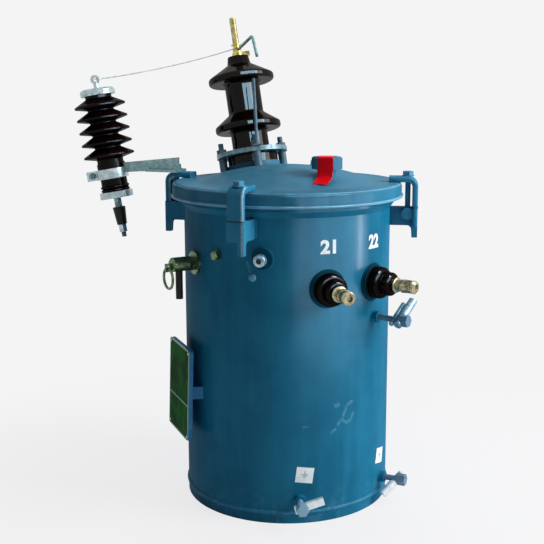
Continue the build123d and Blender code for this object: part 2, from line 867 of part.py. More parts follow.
def lv_terminal(angle):
    # nut against the porcelain, then a drilled stud with a clamping screw in its side
    start = lv_porcelain_end
    body = hexagon(lv_nut_flat, lv_nut_length, start)
    body += post(lv_neck_radius, lv_neck_length, start + lv_nut_length)
    stud_start = start + lv_nut_length + lv_neck_length
    stud = post(lv_stud_radius, lv_stud_length, stud_start)
    stud = chamfer(stud.faces().sort_by(Axis.Z)[-1].edges(), lv_stud_edge)
    stud -= post(lv_end_hole, lv_stud_length, stud_start + lv_stud_length - lv_end_depth)
    middle = stud_start + lv_stud_length / 2
    reach = lv_stud_radius + lv_screw_length
    screw = Pos(0, 0, middle) * Rot(0, 90, 0) * post(lv_screw_radius, reach)
    wire = Pos(0, 0, middle) * Rot(90, 0, 0) * Cylinder(lv_wire_hole, 2 * lv_stud_radius + 2 * overrun)
    return on_wall(angle, lv_height) * (body + stud + screw - wire)


# Pressure relief valve

valve_base = on_wall(valve_angle, valve_height)
valve_hex_start = valve_flange_length
valve_body_start = valve_hex_start + valve_hex_length
valve_body_end = valve_body_start + valve_body_length
valve_hole = valve_body_end + valve_lug_length - valve_hole_inset


def relief_valve():
    body = post(valve_flange_radius, valve_flange_length + wall_thickness, -wall_thickness)
    body += hexagon(valve_hex_flat, valve_hex_length, valve_hex_start)
    barrel = post(valve_body_radius, valve_body_length, valve_body_start)
    body += chamfer(barrel.faces().sort_by(Axis.Z)[-1].edges(), valve_body_edge)
    lug = Box(valve_lug_thickness, valve_lug_height, valve_lug_length)
    body += Pos(0, -valve_lug_drop, valve_body_end + valve_lug_length / 2) * lug
    lug_hole = Rot(0, 90, 0) * Cylinder(valve_hole_radius, valve_lug_thickness + 2 * overrun)
    body -= Pos(0, -valve_lug_drop, valve_hole) * lug_hole
    tube_middle = valve_body_start + valve_body_length / 2
    socket = post(tube_radius + weld_gap, tube_length, -valve_body_radius + tube_socket - tube_length)
    body -= Pos(0, 0, tube_middle) * Rot(-90, 0, 0) * socket
    return against_tank(valve_base * body)


def relief_ring():
    # hangs through the lug's hole
    drop = valve_hole_radius - pull_ring_wire - pull_ring_play
    centre = -valve_lug_drop - drop - pull_ring_radius
    return valve_base * Pos(0, centre, valve_hole) * Torus(pull_ring_radius, pull_ring_wire)


def relief_tube():
    top = -valve_body_radius + tube_socket - weld_gap
    tube = post(tube_radius, tube_length, top - tube_length)
    tube -= post(tube_bore, tube_length, top - tube_length - overrun)
    middle = valve_body_start + valve_body_length / 2
    return valve_base * Pos(0, 0, middle) * Rot(-90, 0, 0) * tube


# Fittings on the tank's side

def level_plug():
    plug = post(plug_seat_radius, plug_seat_length + wall_thickness, -wall_thickness)
    plug += hexagon(plug_flat, plug_length, plug_seat_length)
    return against_tank(on_wall(plug_angle, plug_height) * plug)


def tap_knob_seat():
    seat = post(knob_seat_radius, knob_seat_length + wall_thickness, -wall_thickness)
    return against_tank(on_wall(knob_angle, knob_height) * seat)


def tap_knob():
    top = knob_seat_length + knob_neck_length
    points = [
        (0, knob_seat_length),
        (knob_neck_radius, knob_seat_length),
        (knob_neck_radius, top),
        (knob_radius, top),
        (knob_radius, top + knob_length),
        (0, top + knob_length),
    ]
    knob = turned(points, [0, 0, 0, 0, knob_round, 0])
    knob -= post(knob_hole_radius, knob_length, top + knob_length - knob_hole_depth)
    return on_wall(knob_angle, knob_height) * knob


def ground_height(name):
    return lv_height - neutral_drop if name == "neutral" else ground_foot_height


def ground_boss(angle, height):
    boss = post(ground_boss_radius, ground_boss_height + wall_thickness, -wall_thickness)
    return against_tank(on_wall(angle, height) * boss)


def ground_bosses():
    return [ground_boss(angle, ground_height(name)) for name, angle in ground_angles.items()]


def ground_clamp(name, stud_length, bar_length):
    # stud out of the boss, a round clamp bar across it and the clamping bolt's head
    start = ground_boss_height
    bar_middle = start + stud_length + ground_bar_radius
    body = post(ground_stud_radius, bar_middle - start, start)
    bar = Rot(0, 90, 0) * post(ground_bar_radius, bar_length, -ground_bar_overhang)
    body += Pos(0, 0, bar_middle) * Rot(0, 0, ground_turns[name]) * Rot(0, ground_leans[name], 0) * bar
    body += hexagon(ground_head_flat, ground_bar_radius + ground_head_length, bar_middle)
    return on_wall(ground_angles[name], ground_height(name)) * body


def neutral_ground_clamp():
    # the same with a longer reach, and a keeper bar beside the clamp bar
    clamp = ground_clamp("neutral", neutral_stud_length, neutral_bar_length)
    place = on_wall(ground_angles["neutral"], ground_height("neutral"))
    keeper_middle = ground_boss_height + neutral_stud_length - keeper_radius - keeper_gap
    keeper = Rot(0, 90, 0) * post(keeper_radius, keeper_length, -ground_bar_overhang)
    return clamp + place * Pos(0, 0, keeper_middle) * Rot(0, 0, ground_turns["neutral"]) * keeper


# Name plate

plate_place = on_wall(plate_angle, plate_bottom + plate_height / 2) * Rot(-plate_lean, 0, 0)


def name_plate():
    sheet = extrude(RectangleRounded(plate_width, plate_height, plate_corner), plate_thickness)
    return plate_place * Pos(0, 0, plate_standoff + backing_thickness) * sheet


def name_plate_backing():
    # painted backing with two strap legs to the wall
    sheet = extrude(RectangleRounded(plate_width, plate_height, plate_corner), backing_thickness)
    body = Pos(0, 0, plate_standoff) * sheet
    half = plate_width / 2
    depth = plate_standoff + tank_radius - sqrt(tank_radius**2 - half**2)
    for side in (-1, 1):
        leg = Box(strap_thickness, strap_height, depth, align=(Align.CENTER, Align.CENTER, Align.MAX))
        body += Pos(side * (half - strap_leg_inset - strap_thickness / 2), strap_rise, plate_standoff) * leg
    return against_tank(plate_place * body)


# Hanger brackets

def hanger(height):
    # channel with its open side to the tank and a slot in its back
    back = tank_radius + hanger_standoff
    depth = hanger_standoff + tank_radius - sqrt(tank_radius**2 - (hanger_width / 2) ** 2) + overrun
    outer = Pos(0, back - depth / 2) * Rectangle(hanger_width, depth)
    corners = outer.vertices().sort_by(Axis.Y)[-2:]
    outer = fillet(corners, hanger_round + hanger_plate)
    inner = Pos(0, back - hanger_plate - depth / 2) * Rectangle(hanger_width - 2 * hanger_plate, depth)
    inner = fillet(inner.vertices().sort_by(Axis.Y)[-2:], hanger_round)
    channel = Pos(0, 0, height - hanger_height / 2) * extrude(outer - inner, hanger_height)
    slot = extrude(SlotOverall(slot_length, 2 * slot_radius, rotation=90), 2 * overrun + hanger_plate)
    back_plane = Plane(origin=(0, back + overrun, height), x_dir=(1, 0, 0), z_dir=(0, -1, 0))
    return against_tank(channel - back_plane * slot)


# Assembly: one file for each named piece

def pieces():
    yield "tank_wall", tank_wall()
    yield "tank_floor", tank_floor()
    yield "tank_top_flange", tank_top_flange()
    yield "lid_gasket", lid_gasket()
    yield "lid", lid()
    for name, angle in clamp_angles.items():
        yield f"clamp_bracket_{name}", clamp_bracket(angle)
        yield f"clamp_jaw_{name}", clamp_jaw(angle)
    yield "clamp_bolts", clamp_bolts()
    yield "hv_boss", hv_boss()
    yield "hv_bushing", hv_bushing()
    yield "hv_clamp_ring", hv_clamp_ring()
    yield "hv_studs", hv_studs()
    yield "hv_terminal", hv_terminal()
    yield "lower_arcing_horn", lower_arcing_horn()
    yield "upper_arcing_horn", upper_arcing_horn()
    yield "arrester_arm", arrester_arm()
    yield "arrester_band", arrester_band()
    yield "arrester_housing", arrester_housing()
    yield "arrester_top_cap", arrester_top_cap()
    yield "arrester_bottom_cap", arrester_bottom_cap()
    yield "arrester_ground_nut", arrester_ground_nut()
    yield "arrester_disconnector", arrester_disconnector()
    yield "arrester_ground_stud", arrester_ground_stud()
    yield "arrester_lead", arrester_lead()
    yield "filler_neck", filler_neck()
    yield "filler_cap", filler_cap()
    yield "seal_strip", seal_strip()
    yield "lv_bosses", lv_bosses()
    for name, angle in lv_angles.items():
        yield f"lv_bushing_{name}", lv_bushing(angle)
        yield f"lv_terminal_{name}", lv_terminal(angle)
    yield "relief_valve", relief_valve()
    yield "relief_ring", relief_ring()
    yield "relief_tube", relief_tube()
    yield "level_plug", level_plug()
    yield "tap_knob_seat", tap_knob_seat()
    yield "tap_knob", tap_knob()
    yield "ground_bosses", ground_bosses()
    yield "ground_clamp_neutral", neutral_ground_clamp()
    for name in ("left", "right"):
        yield f"ground_clamp_{name}", ground_clamp(name, ground_stud_length, ground_bar_length)
    yield "name_plate", name_plate()
    yield "name_plate_backing", name_plate_backing()
    yield "hanger_lower", hanger(hanger_high - hanger_spacing)
    yield "hanger_upper", hanger(hanger_high)


os.makedirs("parts", exist_ok=True)
for node, shape in pieces():
    solids = shape if isinstance(shape, list) else [shape]
    export_step(Compound(children=[s for piece in solids for s in piece.solids()]), f"parts/{node}.step")
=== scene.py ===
import json
from math import cos, pi, radians, sin
import bmesh
import bpy
import numpy as np
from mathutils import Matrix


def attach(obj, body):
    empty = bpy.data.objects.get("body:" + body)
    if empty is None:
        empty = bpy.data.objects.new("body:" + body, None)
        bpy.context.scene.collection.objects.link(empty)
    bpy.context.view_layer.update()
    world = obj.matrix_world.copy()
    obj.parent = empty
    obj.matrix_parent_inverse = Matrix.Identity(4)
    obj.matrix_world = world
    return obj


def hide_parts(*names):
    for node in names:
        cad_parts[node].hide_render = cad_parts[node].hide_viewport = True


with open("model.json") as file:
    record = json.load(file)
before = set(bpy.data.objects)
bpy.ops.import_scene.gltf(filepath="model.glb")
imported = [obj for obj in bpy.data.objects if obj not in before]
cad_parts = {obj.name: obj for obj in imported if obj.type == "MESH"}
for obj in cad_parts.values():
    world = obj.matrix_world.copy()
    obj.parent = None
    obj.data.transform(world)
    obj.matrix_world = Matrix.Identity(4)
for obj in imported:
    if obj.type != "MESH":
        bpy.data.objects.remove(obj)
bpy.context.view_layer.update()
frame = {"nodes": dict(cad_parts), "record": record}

nodes = frame["nodes"]
scene = bpy.context.scene
scene.view_settings.view_transform = "Standard"
print("frame loaded:", len(nodes), "nodes")

# sizes and places that the CAD part gives, in metres and degrees; a turn runs from the front to the right
tank = {"radius": 0.21, "rimTop": 0.65, "domeRise": 0.032, "domeRadius": 0.527891}
clampTurns = {"front_left": -58.0, "front_right": 46.0, "rear_left": -145.0, "rear_right": 128.0}
lowBushing = {"turns": (-15.6, 15.6), "height": 0.465}
groundSpots = {"neutral": (17.0, 0.395), "left": (-30.5, 0.049), "right": (28.0, 0.049)}  # turn and height
knobSpot, valveSpot = (-49.5, 0.524), (-95.2, 0.5)

# frames of the leaning fittings, from the part's own values
bushing = {
    "origin": (0.0, 0.118452, 0.674693), "x": (1.0, 0.0, 0.0), "y": (0.0, 0.970296, -0.241922),
    "z": (0.0, 0.241922, 0.970296), "bossRadius": 0.056, "studTurn": -116.0, "studCircle": 0.064,
    "studRadius": 0.005, "nutTop": 0.038, "studTop": 0.051, "tab": 0.003}
arrester = {
    "origin": (-0.227136, 0.324384, 0.653), "x": (-0.5649, 0.8067, -0.1736), "y": (-0.8192, -0.5736, 0.0),
    "z": (-0.0996, 0.1422, 0.9848)}
plate = {
    "origin": (-0.22931, 0.0592, 0.23842), "x": (-0.25038, -0.96815, 0.0), "y": (0.03379, -0.00874, 0.99939),
    "z": (-0.96757, 0.25023, 0.0349), "half": (0.065, 0.0915)}


# shader values: a wrapped socket whose operators add Math nodes
class Wire:
    def __init__(self, tree, socket):
        self.tree = tree
        self.socket = socket

    def maths(self, operation, a, b=0.0):
        node = self.tree.nodes.new("ShaderNodeMath")
        node.operation = operation
        for slot, value in ((0, a), (1, b)):
            if isinstance(value, Wire):
                self.tree.links.new(value.socket, node.inputs[slot])
            else:
                node.inputs[slot].default_value = value
        return Wire(self.tree, node.outputs[0])

    def __add__(self, other): return self.maths("ADD", self, other)
    def __radd__(self, other): return self.maths("ADD", other, self)
    def __sub__(self, other): return self.maths("SUBTRACT", self, other)
    def __rsub__(self, other): return self.maths("SUBTRACT", other, self)
    def __mul__(self, other): return self.maths("MULTIPLY", self, other)
    def __rmul__(self, other): return self.maths("MULTIPLY", other, self)
    def __truediv__(self, other): return self.maths("DIVIDE", self, other)
    def __rtruediv__(self, other): return self.maths("DIVIDE", other, self)
    def __abs__(self): return self.maths("ABSOLUTE", self)
    def root(self): return self.maths("SQRT", self)
    def turnFrom(self, other): return self.maths("ARCTAN2", self, other)
    def most(self, other): return self.maths("MAXIMUM", self, other)
    def clamped(self): return self.maths("MINIMUM", self.most(0.0), 1.0)


class Finish:
    # one material under way: a Principled shader and what feeds it
    def __init__(self, name, **plain):
        self.material = bpy.data.materials.new(name)
        self.material.use_nodes = True
        self.tree = self.material.node_tree
        self.shader = self.tree.nodes["Principled BSDF"]
        for socket, value in plain.items():
            self.shader.inputs[socket.replace("_", " ")].default_value = value
        self.place = self.add("ShaderNodeTexCoord", {}, {}, "Object")

    def add(self, kind, settings, inputs, output=0):
        node = self.tree.nodes.new(kind)
        for key, value in settings.items():
            setattr(node, key, value)
        for key, value in inputs.items():
            if isinstance(value, Wire):
                self.tree.links.new(value.socket, node.inputs[key])
            else:
                node.inputs[key].default_value = value
        return Wire(self.tree, node.outputs[output])

    def noise(self, scale, detail=3.0, roughness=0.5, place=None):
        inputs = {"Vector": place or self.place, "Scale": scale, "Detail": detail, "Roughness": roughness}
        return self.add("ShaderNodeTexNoise", {}, inputs, "Fac")

    def stretched(self, x, y, z):
        return self.add("ShaderNodeMapping", {}, {"Vector": self.place, "Scale": (x, y, z)})

    def mix(self, share, a, b):
        return self.add("ShaderNodeMix", {"data_type": "RGBA"}, {0: share, 6: a, 7: b}, 2)

    def step(self, value, low, high):
        # smooth 0 to 1 as value goes from low to high
        inputs = {"Value": value, "From Min": low, "From Max": high}
        return self.add("ShaderNodeMapRange", {"interpolation_type": "SMOOTHSTEP"}, inputs, "Result")

    def part(self, letter):
        return self.add("ShaderNodeSeparateXYZ", {}, {"Vector": self.place}, letter)

    def along(self, spot, direction):
        # distance from a spot along a direction
        shift = self.add("ShaderNodeVectorMath", {"operation": "SUBTRACT"}, {0: self.place, 1: spot})
        return self.add("ShaderNodeVectorMath", {"operation": "DOT_PRODUCT"}, {0: shift, 1: direction}, "Value")

    def feed(self, **links):
        for socket, wire in links.items():
            self.tree.links.new(wire.socket, self.shader.inputs[socket.replace("_", " ")])
        return self.material

    def bump(self, height, strength, distance):
        inputs = {"Height": height, "Strength": strength, "Distance": distance}
        return self.add("ShaderNodeBump", {}, inputs, "Normal")


def rgb(r, g, b):
    # screen colour 0..255 to a linear one
    c = np.array([r, g, b]) / 255.0
    c = np.where(c <= 0.04045, c / 12.92, ((c + 0.055) / 1.055) ** 2.4)
    return (*c.tolist(), 1.0)


# materials
axis = (0.0, 0.0, 0.0)  # a spot on the tank's axis
primer = rgb(92, 96, 92)
# where a painted highlight runs along a clamp bar's edge, and how strong it is
barEdge = {"from": (0.0105, 0.0145), "to": (0.0170, 0.0160), "beyond": (0.24, 0.245), "edgeHighlight": 0.95}


def enamel(name, look):
    # brushed-out gloss paint: cloudy tone, faint runs, specks, dust towards one height, chips and orange peel
    f = Finish(name, Coat_Roughness=look["coatRoughness"], Specular_IOR_Level=0.0)  # its gloss is the coat
    cloud = f.noise(5.0, 4.0, 0.6)
    runs = f.noise(1.0, 4.0, 0.6, f.stretched(34.0, 34.0, 3.0))
    colour = f.mix(f.step(cloud * 0.68 + runs * 0.32, 0.36, 0.64), look["deep"], look["light"])
    speck = f.step(f.noise(620.0, 2.0, 0.6), 0.70, 0.78) * f.step(f.noise(14.0, 2.0), 0.42, 0.66)
    dust = f.step(f.part("Z"), *look["dustSpan"]) * f.step(f.noise(42.0, 5.0, 0.7), 0.45, 0.8)
    marks = speck * 0.5 + dust * look["dust"]
    if "film" in look:  # an even pale film above a height: dust, and a painted sheen that keeps the lid's top lighter than its skirt
        marks = marks + f.step(f.part("Z"), *look["filmSpan"]) * look["film"]
    if "scuffs" in look:
        marks = marks + scuffs(f, look["scuffs"]) * 0.48
    colour = f.mix(marks.clamped(), colour, look["dustAndHighlight"])
    chip = f.step(f.noise(310.0, 4.0, 0.62), 0.715, 0.735) * f.step(f.noise(23.0, 2.0), 0.55, 0.7)
    colour = f.mix(chip * look["chips"], colour, primer)
    if "edgeTurn" in look:  # a painted highlight along one long edge of a clamp's bar, in the pale dust-and-highlight tone
        a = radians(look["edgeTurn"])
        off = f.along(axis, (cos(a), sin(a), 0.0))
        beyond = f.along(axis, (sin(a), -cos(a), 0.0))
        edge = f.step(off, *barEdge["from"]) * f.step(off, *barEdge["to"]) * f.step(beyond, *barEdge["beyond"])
        edgeHighlight = edge * f.step(f.noise(130.0, 4.0, 0.6), 0.25, 0.55) * barEdge["edgeHighlight"]
        colour = f.mix(edgeHighlight, colour, look["dustAndHighlight"])
    rough = look["roughness"] + f.noise(30.0, 3.0) * 0.12 + dust * 0.2 + chip * 0.2
    peel = f.noise(260.0, 2.0, 0.5) * 0.5 + f.noise(38.0, 2.0, 0.5) - chip * 0.6
    return f.feed(Base_Color=colour, Roughness=rough, Coat_Weight=look["coat"] - dust * look["coat"],
                  Normal=f.bump(peel, 0.16, 0.0008))


def scuffs(f, strokes):
    # soft pale rubs on the wall: round-ended strokes between points given as (turn, height), with a width
    across = f.part("X").turnFrom(0.0 - f.part("Y")) * tank["radius"]
    up = f.part("Z")
    total = None
    for (startTurn, startUp), (endTurn, endUp), width in strokes:
        startAcross = radians(startTurn) * tank["radius"]
        stride = np.array([radians(endTurn) * tank["radius"] - startAcross, endUp - startUp])
        length = float(np.linalg.norm(stride))
        dAcross, dUp = (stride / length).tolist()
        fromAcross, fromUp = across - startAcross, up - startUp
        run = ((fromAcross * dAcross + fromUp * dUp) / length).clamped() * length
        sideways, upwards = fromAcross - run * dAcross, fromUp - run * dUp
        reach = (sideways * sideways + upwards * upwards).root()
        stroke = 1.0 - f.step(reach, width * 0.3, width * 1.5)
        total = stroke if total is None else total.most(stroke)
    return total * f.step(f.noise(210.0, 3.0, 0.6), 0.32, 0.56)


def porcelain(name, look):
    # deep glaze that pools darker, with a thin film of dust
    f = Finish(name, Coat_Roughness=look["roughness"], Specular_IOR_Level=0.0)  # its gloss is the coat
    pool = f.noise(26.0, 3.0, 0.55)
    colour = f.mix(f.step(pool, 0.35, 0.7), look["deep"], look["light"])
    film = f.step(f.noise(70.0, 5.0, 0.7), 0.5, 0.85)
    colour = f.mix(film * look["film"], colour, look["dustAndHighlight"])
    return f.feed(Base_Color=colour, Roughness=0.3 + film * 0.3, Coat_Weight=look["shine"] - film * look["shine"] * 0.4,
                  Normal=f.bump(pool, 0.10, 0.0006))


def zinc(name, look):
    # dipped coat: small crystal flakes, cloudy tone and grey stains
    f = Finish(name)
    flake = f.add("ShaderNodeTexVoronoi", {}, {"Vector": f.place, "Scale": 190.0}, "Color")
    flake = f.add("ShaderNodeSeparateColor", {}, {"Color": flake}, "Red")
    cloud = f.noise(60.0, 4.0, 0.6)
    share = flake * 0.45 + f.step(cloud, 0.3, 0.7) * 0.55
    colour = f.mix(share.clamped(), look["deep"], look["light"])
    stain = f.step(f.noise(33.0, 5.0, 0.7), 0.52, 0.72)
    colour = f.mix(stain * look["stain"], colour, look["stainColour"])
    rough = look["roughness"] + flake * 0.14 + stain * 0.2
    metal = look["metal"] - stain * 0.3
    if "hub" in look:  # paint left on a bolt's head and stud, and on the knob a painted shade inside its hole: within a radius of an axis square to the wall
        turn, height, radius, tone = look["hub"]
        side = f.along(axis, (cos(radians(turn)), sin(radians(turn)), 0.0))
        rise = f.part("Z") - height
        hub = f.step(side * side + rise * rise, radius ** 2 * 1.06, radius ** 2 * 0.94)
        colour = f.mix(hub * 0.9, colour, tone)
        metal = metal - hub * 0.45
    bump = f.bump(flake * 0.3 + cloud, 0.18, 0.0004)
    return f.feed(Base_Color=colour, Roughness=rough, Metallic=metal, Normal=bump)


def machined(name, look):
    # turned metal: fine lines and patches of tarnish
    f = Finish(name)
    tarnish = f.step(f.noise(95.0, 5.0, 0.65), look["bright"], look["bright"] + 0.32)
    colour = f.mix(tarnish * 0.85, look["light"], look["deep"])
    lines = f.noise(1.0, 2.0, 0.5, f.stretched(160.0, 160.0, 2400.0))
    rough = look["roughness"] + tarnish * 0.18
    metal = 1.0 - tarnish * 0.25
    return f.feed(Base_Color=colour, Roughness=rough, Metallic=metal, Normal=f.bump(lines, 0.12, 0.0003))


def moulded(name, look):
    # plastic, rubber or flat print: a cloudy tone with a fine grain
    f = Finish(name, IOR=1.48, Specular_IOR_Level=look.get("shine", 0.5))
    cloud = f.noise(48.0, 4.0, 0.6)
    colour = f.mix(f.step(cloud, 0.35, 0.7), look["deep"], look["light"])
    grain = f.noise(520.0, 2.0)
    rough = look["roughness"] + cloud * 0.14
    return f.feed(Base_Color=colour, Roughness=rough, Normal=f.bump(grain + cloud * 2.0, look["bump"], 0.0004))


def platePrint(name, look):
    # lacquered sheet, its base tone a painted reflection, with a bare edge line and one ruled line across
    f = Finish(name, Specular_IOR_Level=0.0, Coat_Weight=0.06, Coat_Roughness=0.15)
    across = f.along(plate["origin"], plate["x"])
    up = f.along(plate["origin"], plate["y"])
    inside = (abs(across) - plate["half"][0]).most(abs(up) - plate["half"][1])
    rule = 1.0 - f.step(abs(up - look["ruleUp"]), *look["ruleEdge"])
    bare = f.step(inside, *look["bareEdge"]).most(rule)
    wear = f.step(f.noise(120.0, 5.0, 0.7), 0.58, 0.74)
    colour = f.mix(f.step(f.noise(30.0, 4.0), 0.35, 0.65), look["deep"], look["light"])
    colour = f.mix((bare * 0.6 + wear * 0.12).clamped(), colour, look["bare"])
    return f.feed(Base_Color=colour, Roughness=0.24 + wear * 0.2, Metallic=bare * 0.7,
                  Normal=f.bump(bare * 0.4 + f.noise(260.0, 2.0) * 0.2, 0.3, 0.0004))


tankScuffs = [  # faint rubs low on the front, and one beside the knob
    ((-12.7, 0.1802), (-10.6, 0.1854), 0.0030), ((-8.9, 0.194), (-6.2, 0.203), 0.0032),
    ((-5.6, 0.210), (-3.9, 0.226), 0.0034), ((-2.4, 0.2316), (-0.4, 0.2344), 0.0042),
    ((-10.3, 0.2330), (-9.0, 0.2342), 0.0042), ((-5.6, 0.199), (-3.6, 0.1952), 0.0030),
    ((-3.6, 0.1952), (-1.0, 0.198), 0.0034), ((-1.0, 0.198), (0.85, 0.2112), 0.0030),
    ((-58.0, 0.516), (-56.3, 0.497), 0.0022), ((-28.5, 0.196), (-26.0, 0.196), 0.0018)]
tankPaint = enamel("tankPaint", {
    "deep": rgb(19, 97, 130), "light": rgb(30, 115, 150), "dustAndHighlight": rgb(104, 158, 182), "roughness": 0.28,
    "chips": 0.35, "coat": 0.11, "coatRoughness": 0.24, "dustSpan": (0.09, 0.0), "dust": 0.4, "scuffs": tankScuffs})
# the lid's pale film over its top is dust and a painted sheen of the light falling on it
lidPaint = enamel("lidPaint", {
    "deep": rgb(30, 100, 132), "light": rgb(50, 120, 152), "dustAndHighlight": rgb(120, 162, 182), "roughness": 0.26,
    "chips": 0.6, "coat": 0.11, "coatRoughness": 0.15, "dustSpan": (0.655, 0.69), "dust": 0.3,
    "film": 0.2, "filmSpan": (0.642, 0.65)})
# darker paint for the low bushings' bosses and welds and the knob's seat: painted shade round those bases
bossPaint = enamel("bossPaint", {
    "deep": rgb(9, 62, 82), "light": rgb(16, 80, 104), "dustAndHighlight": rgb(40, 96, 112), "roughness": 0.4,
    "chips": 0.5, "coat": 0.06, "coatRoughness": 0.3, "dustSpan": (0.4, 0.3), "dust": 0.2})
# the clamps' paint: a lighter copy of the tank's blue, its extra lightness painted light
clampLook = {
    "deep": rgb(32, 110, 146), "light": rgb(52, 132, 168), "dustAndHighlight": rgb(152, 200, 222), "roughness": 0.26,
    "chips": 0.8, "coat": 0.14, "coatRoughness": 0.2, "dustSpan": (0.53, 0.5), "dust": 0.2}
clampPaint = enamel("clampPaint", clampLook)
# the bolts' still lighter paint is a painted highlight on their heads
boltPaint = enamel("boltPaint", {**clampLook, "deep": rgb(56, 132, 168), "light": rgb(92, 158, 192)})
# lighter, glossier paint: on the hem and crease beads it is a painted highlight; the painted stub takes it as its own
# lighter paint
hemPaint = enamel("hemPaint", {
    "deep": rgb(72, 140, 174), "light": rgb(110, 172, 204), "dustAndHighlight": rgb(150, 190, 206), "roughness": 0.2,
    "chips": 0.4, "coat": 0.3, "coatRoughness": 0.12, "dustSpan": (0.6, 0.59), "dust": 0.2})
brownGlaze = porcelain("brownGlaze", {
    "deep": rgb(10, 5, 3), "light": rgb(22, 9, 5), "dustAndHighlight": rgb(90, 76, 68), "roughness": 0.05, "film": 0.04,
    "shine": 0.27})
arresterGlaze = porcelain("arresterGlaze", {
    "deep": rgb(12, 5, 5), "light": rgb(26, 10, 9), "dustAndHighlight": rgb(98, 86, 82), "roughness": 0.12, "film": 0.05,
    "shine": 0.16})
lowGlaze = porcelain("lowGlaze", {
    "deep": rgb(8, 5, 4), "light": rgb(20, 10, 7), "dustAndHighlight": rgb(80, 70, 64), "roughness": 0.14, "film": 0.05,
    "shine": 0.12})
galvanised = zinc("galvanised", {
    "deep": rgb(136, 158, 164), "light": rgb(206, 220, 224), "stain": 0.35, "stainColour": rgb(112, 124, 118),
    "roughness": 0.30, "metal": 0.85})
agedZinc = zinc("agedZinc", {
    "deep": rgb(92, 126, 130), "light": rgb(160, 190, 192), "stain": 0.6, "stainColour": rgb(58, 82, 80),
    "roughness": 0.38, "metal": 0.7})
ringZinc = zinc("ringZinc", {
    "deep": rgb(78, 108, 120), "light": rgb(138, 168, 178), "stain": 0.4, "stainColour": rgb(60, 84, 92),
    "roughness": 0.34, "metal": 0.55})
hornSteel = zinc("hornSteel", {
    "deep": rgb(48, 76, 94), "light": rgb(92, 124, 142), "stain": 0.4, "stainColour": rgb(40, 58, 68),
    "roughness": 0.5, "metal": 0.4})
tinnedLook = {
    "deep": rgb(206, 222, 228), "light": rgb(244, 250, 252), "stain": 0.2, "stainColour": rgb(160, 176, 182),
    "roughness": 0.28, "metal": 0.6}
tinned = zinc("tinned", tinnedLook)
blueLook = {
    "deep": rgb(84, 128, 152), "light": rgb(170, 206, 222), "stain": 0.5, "stainColour": rgb(48, 84, 106),
    "roughness": 0.32, "metal": 0.55}
brass = machined("brass", {
    "light": rgb(202, 187, 106), "deep": rgb(90, 83, 40), "roughness": 0.22, "bright": 0.4})
rodBrass = machined("rodBrass", {
    "light": rgb(186, 177, 122), "deep": rgb(92, 87, 54), "roughness": 0.26, "bright": 0.42})
agedBronze = machined("agedBronze", {
    "light": rgb(106, 130, 96), "deep": rgb(28, 52, 34), "roughness": 0.26, "bright": 0.38})
terminalBronze = machined("terminalBronze", {
    "light": rgb(200, 193, 156), "deep": rgb(78, 66, 48), "roughness": 0.28, "bright": 0.38})
wireMetal = machined("wireMetal", {
    "light": rgb(228, 228, 226), "deep": rgb(182, 180, 174), "roughness": 0.4, "bright": 0.4})
redStrip = moulded("redStrip", {
    "deep": rgb(214, 4, 22), "light": rgb(236, 10, 30), "roughness": 0.34, "bump": 0.2, "shine": 0.1})
blackMould = moulded("blackMould", {
    "deep": rgb(9, 10, 12), "light": rgb(20, 22, 25), "roughness": 0.36, "bump": 0.15, "shine": 0.25})
rubber = moulded("rubber", {
    "deep": rgb(12, 13, 14), "light": rgb(24, 25, 26), "roughness": 0.6, "bump": 0.3, "shine": 0.15})
stencilWhite = moulded("stencilWhite", {
    "deep": rgb(228, 244, 248), "light": rgb(250, 254, 255), "roughness": 0.45, "bump": 0.4})
stickerGrey = moulded("stickerGrey", {
    "deep": rgb(84, 112, 118), "light": rgb(110, 138, 142), "roughness": 0.5, "bump": 0.2})
# the plate's green is a painted reflection of green surroundings on its metal face
plateGreenReflection = platePrint("plateGreenReflection", {
    "deep": rgb(6, 74, 24), "light": rgb(16, 108, 36), "bare": rgb(104, 130, 126), "bareEdge": (-0.0034, -0.0028),
    "ruleUp": -0.021, "ruleEdge": (0.0008, 0.0014)})

# finishes by the record's slots, then those of single nodes
finishes = {
    "tank_paint": tankPaint, "lid_paint": lidPaint, "gasket": rubber, "porcelain": brownGlaze,
    "arrester_glaze": arresterGlaze, "galvanised": galvanised, "lead_wire": wireMetal, "brass": brass,
    "black_plastic": blackMould, "red_strip": redStrip, "tinned": tinned, "plate_metal": plateGreenReflection}
knobHoleShade = (*knobSpot, 0.0052, rgb(14, 30, 42))  # turn, height, radius and tone; the dark tone is painted shade inside the knob's hole
neutralHub = (*groundSpots["neutral"], 0.0125, rgb(70, 118, 150))
leftHub = (*groundSpots["left"], 0.0125, rgb(116, 168, 194))
rightHub = (*groundSpots["right"], 0.0125, rgb(40, 92, 128))
special = {
    "relief_valve": agedBronze, "relief_ring": agedBronze, "level_plug": agedBronze,
    "arrester_arm": agedZinc, "arrester_ground_nut": agedZinc, "upper_arcing_horn": agedZinc,
    "lower_arcing_horn": hornSteel, "hv_studs": hornSteel, "hv_clamp_ring": ringZinc,
    "lv_terminal_left": terminalBronze, "lv_terminal_right": terminalBronze,
    "lv_bushing_left": lowGlaze, "lv_bushing_right": lowGlaze, "lv_bosses": bossPaint,
    "tap_knob_seat": bossPaint, "clamp_bolts": boltPaint,
    "tap_knob": zinc("knobZinc", {**blueLook, "light": rgb(206, 226, 234), "hub": knobHoleShade}),
    "ground_clamp_neutral": zinc("neutralZinc", {**blueLook, "hub": neutralHub}),
    "ground_clamp_left": zinc("leftTin", {**tinnedLook, "hub": leftHub}),
    "ground_clamp_right": zinc("rightTin", {**tinnedLook, "hub": rightHub}),
    "name_plate_backing": enamel("bracketPaint", {
        **clampLook, "deep": rgb(36, 112, 166), "light": rgb(54, 134, 188)})}
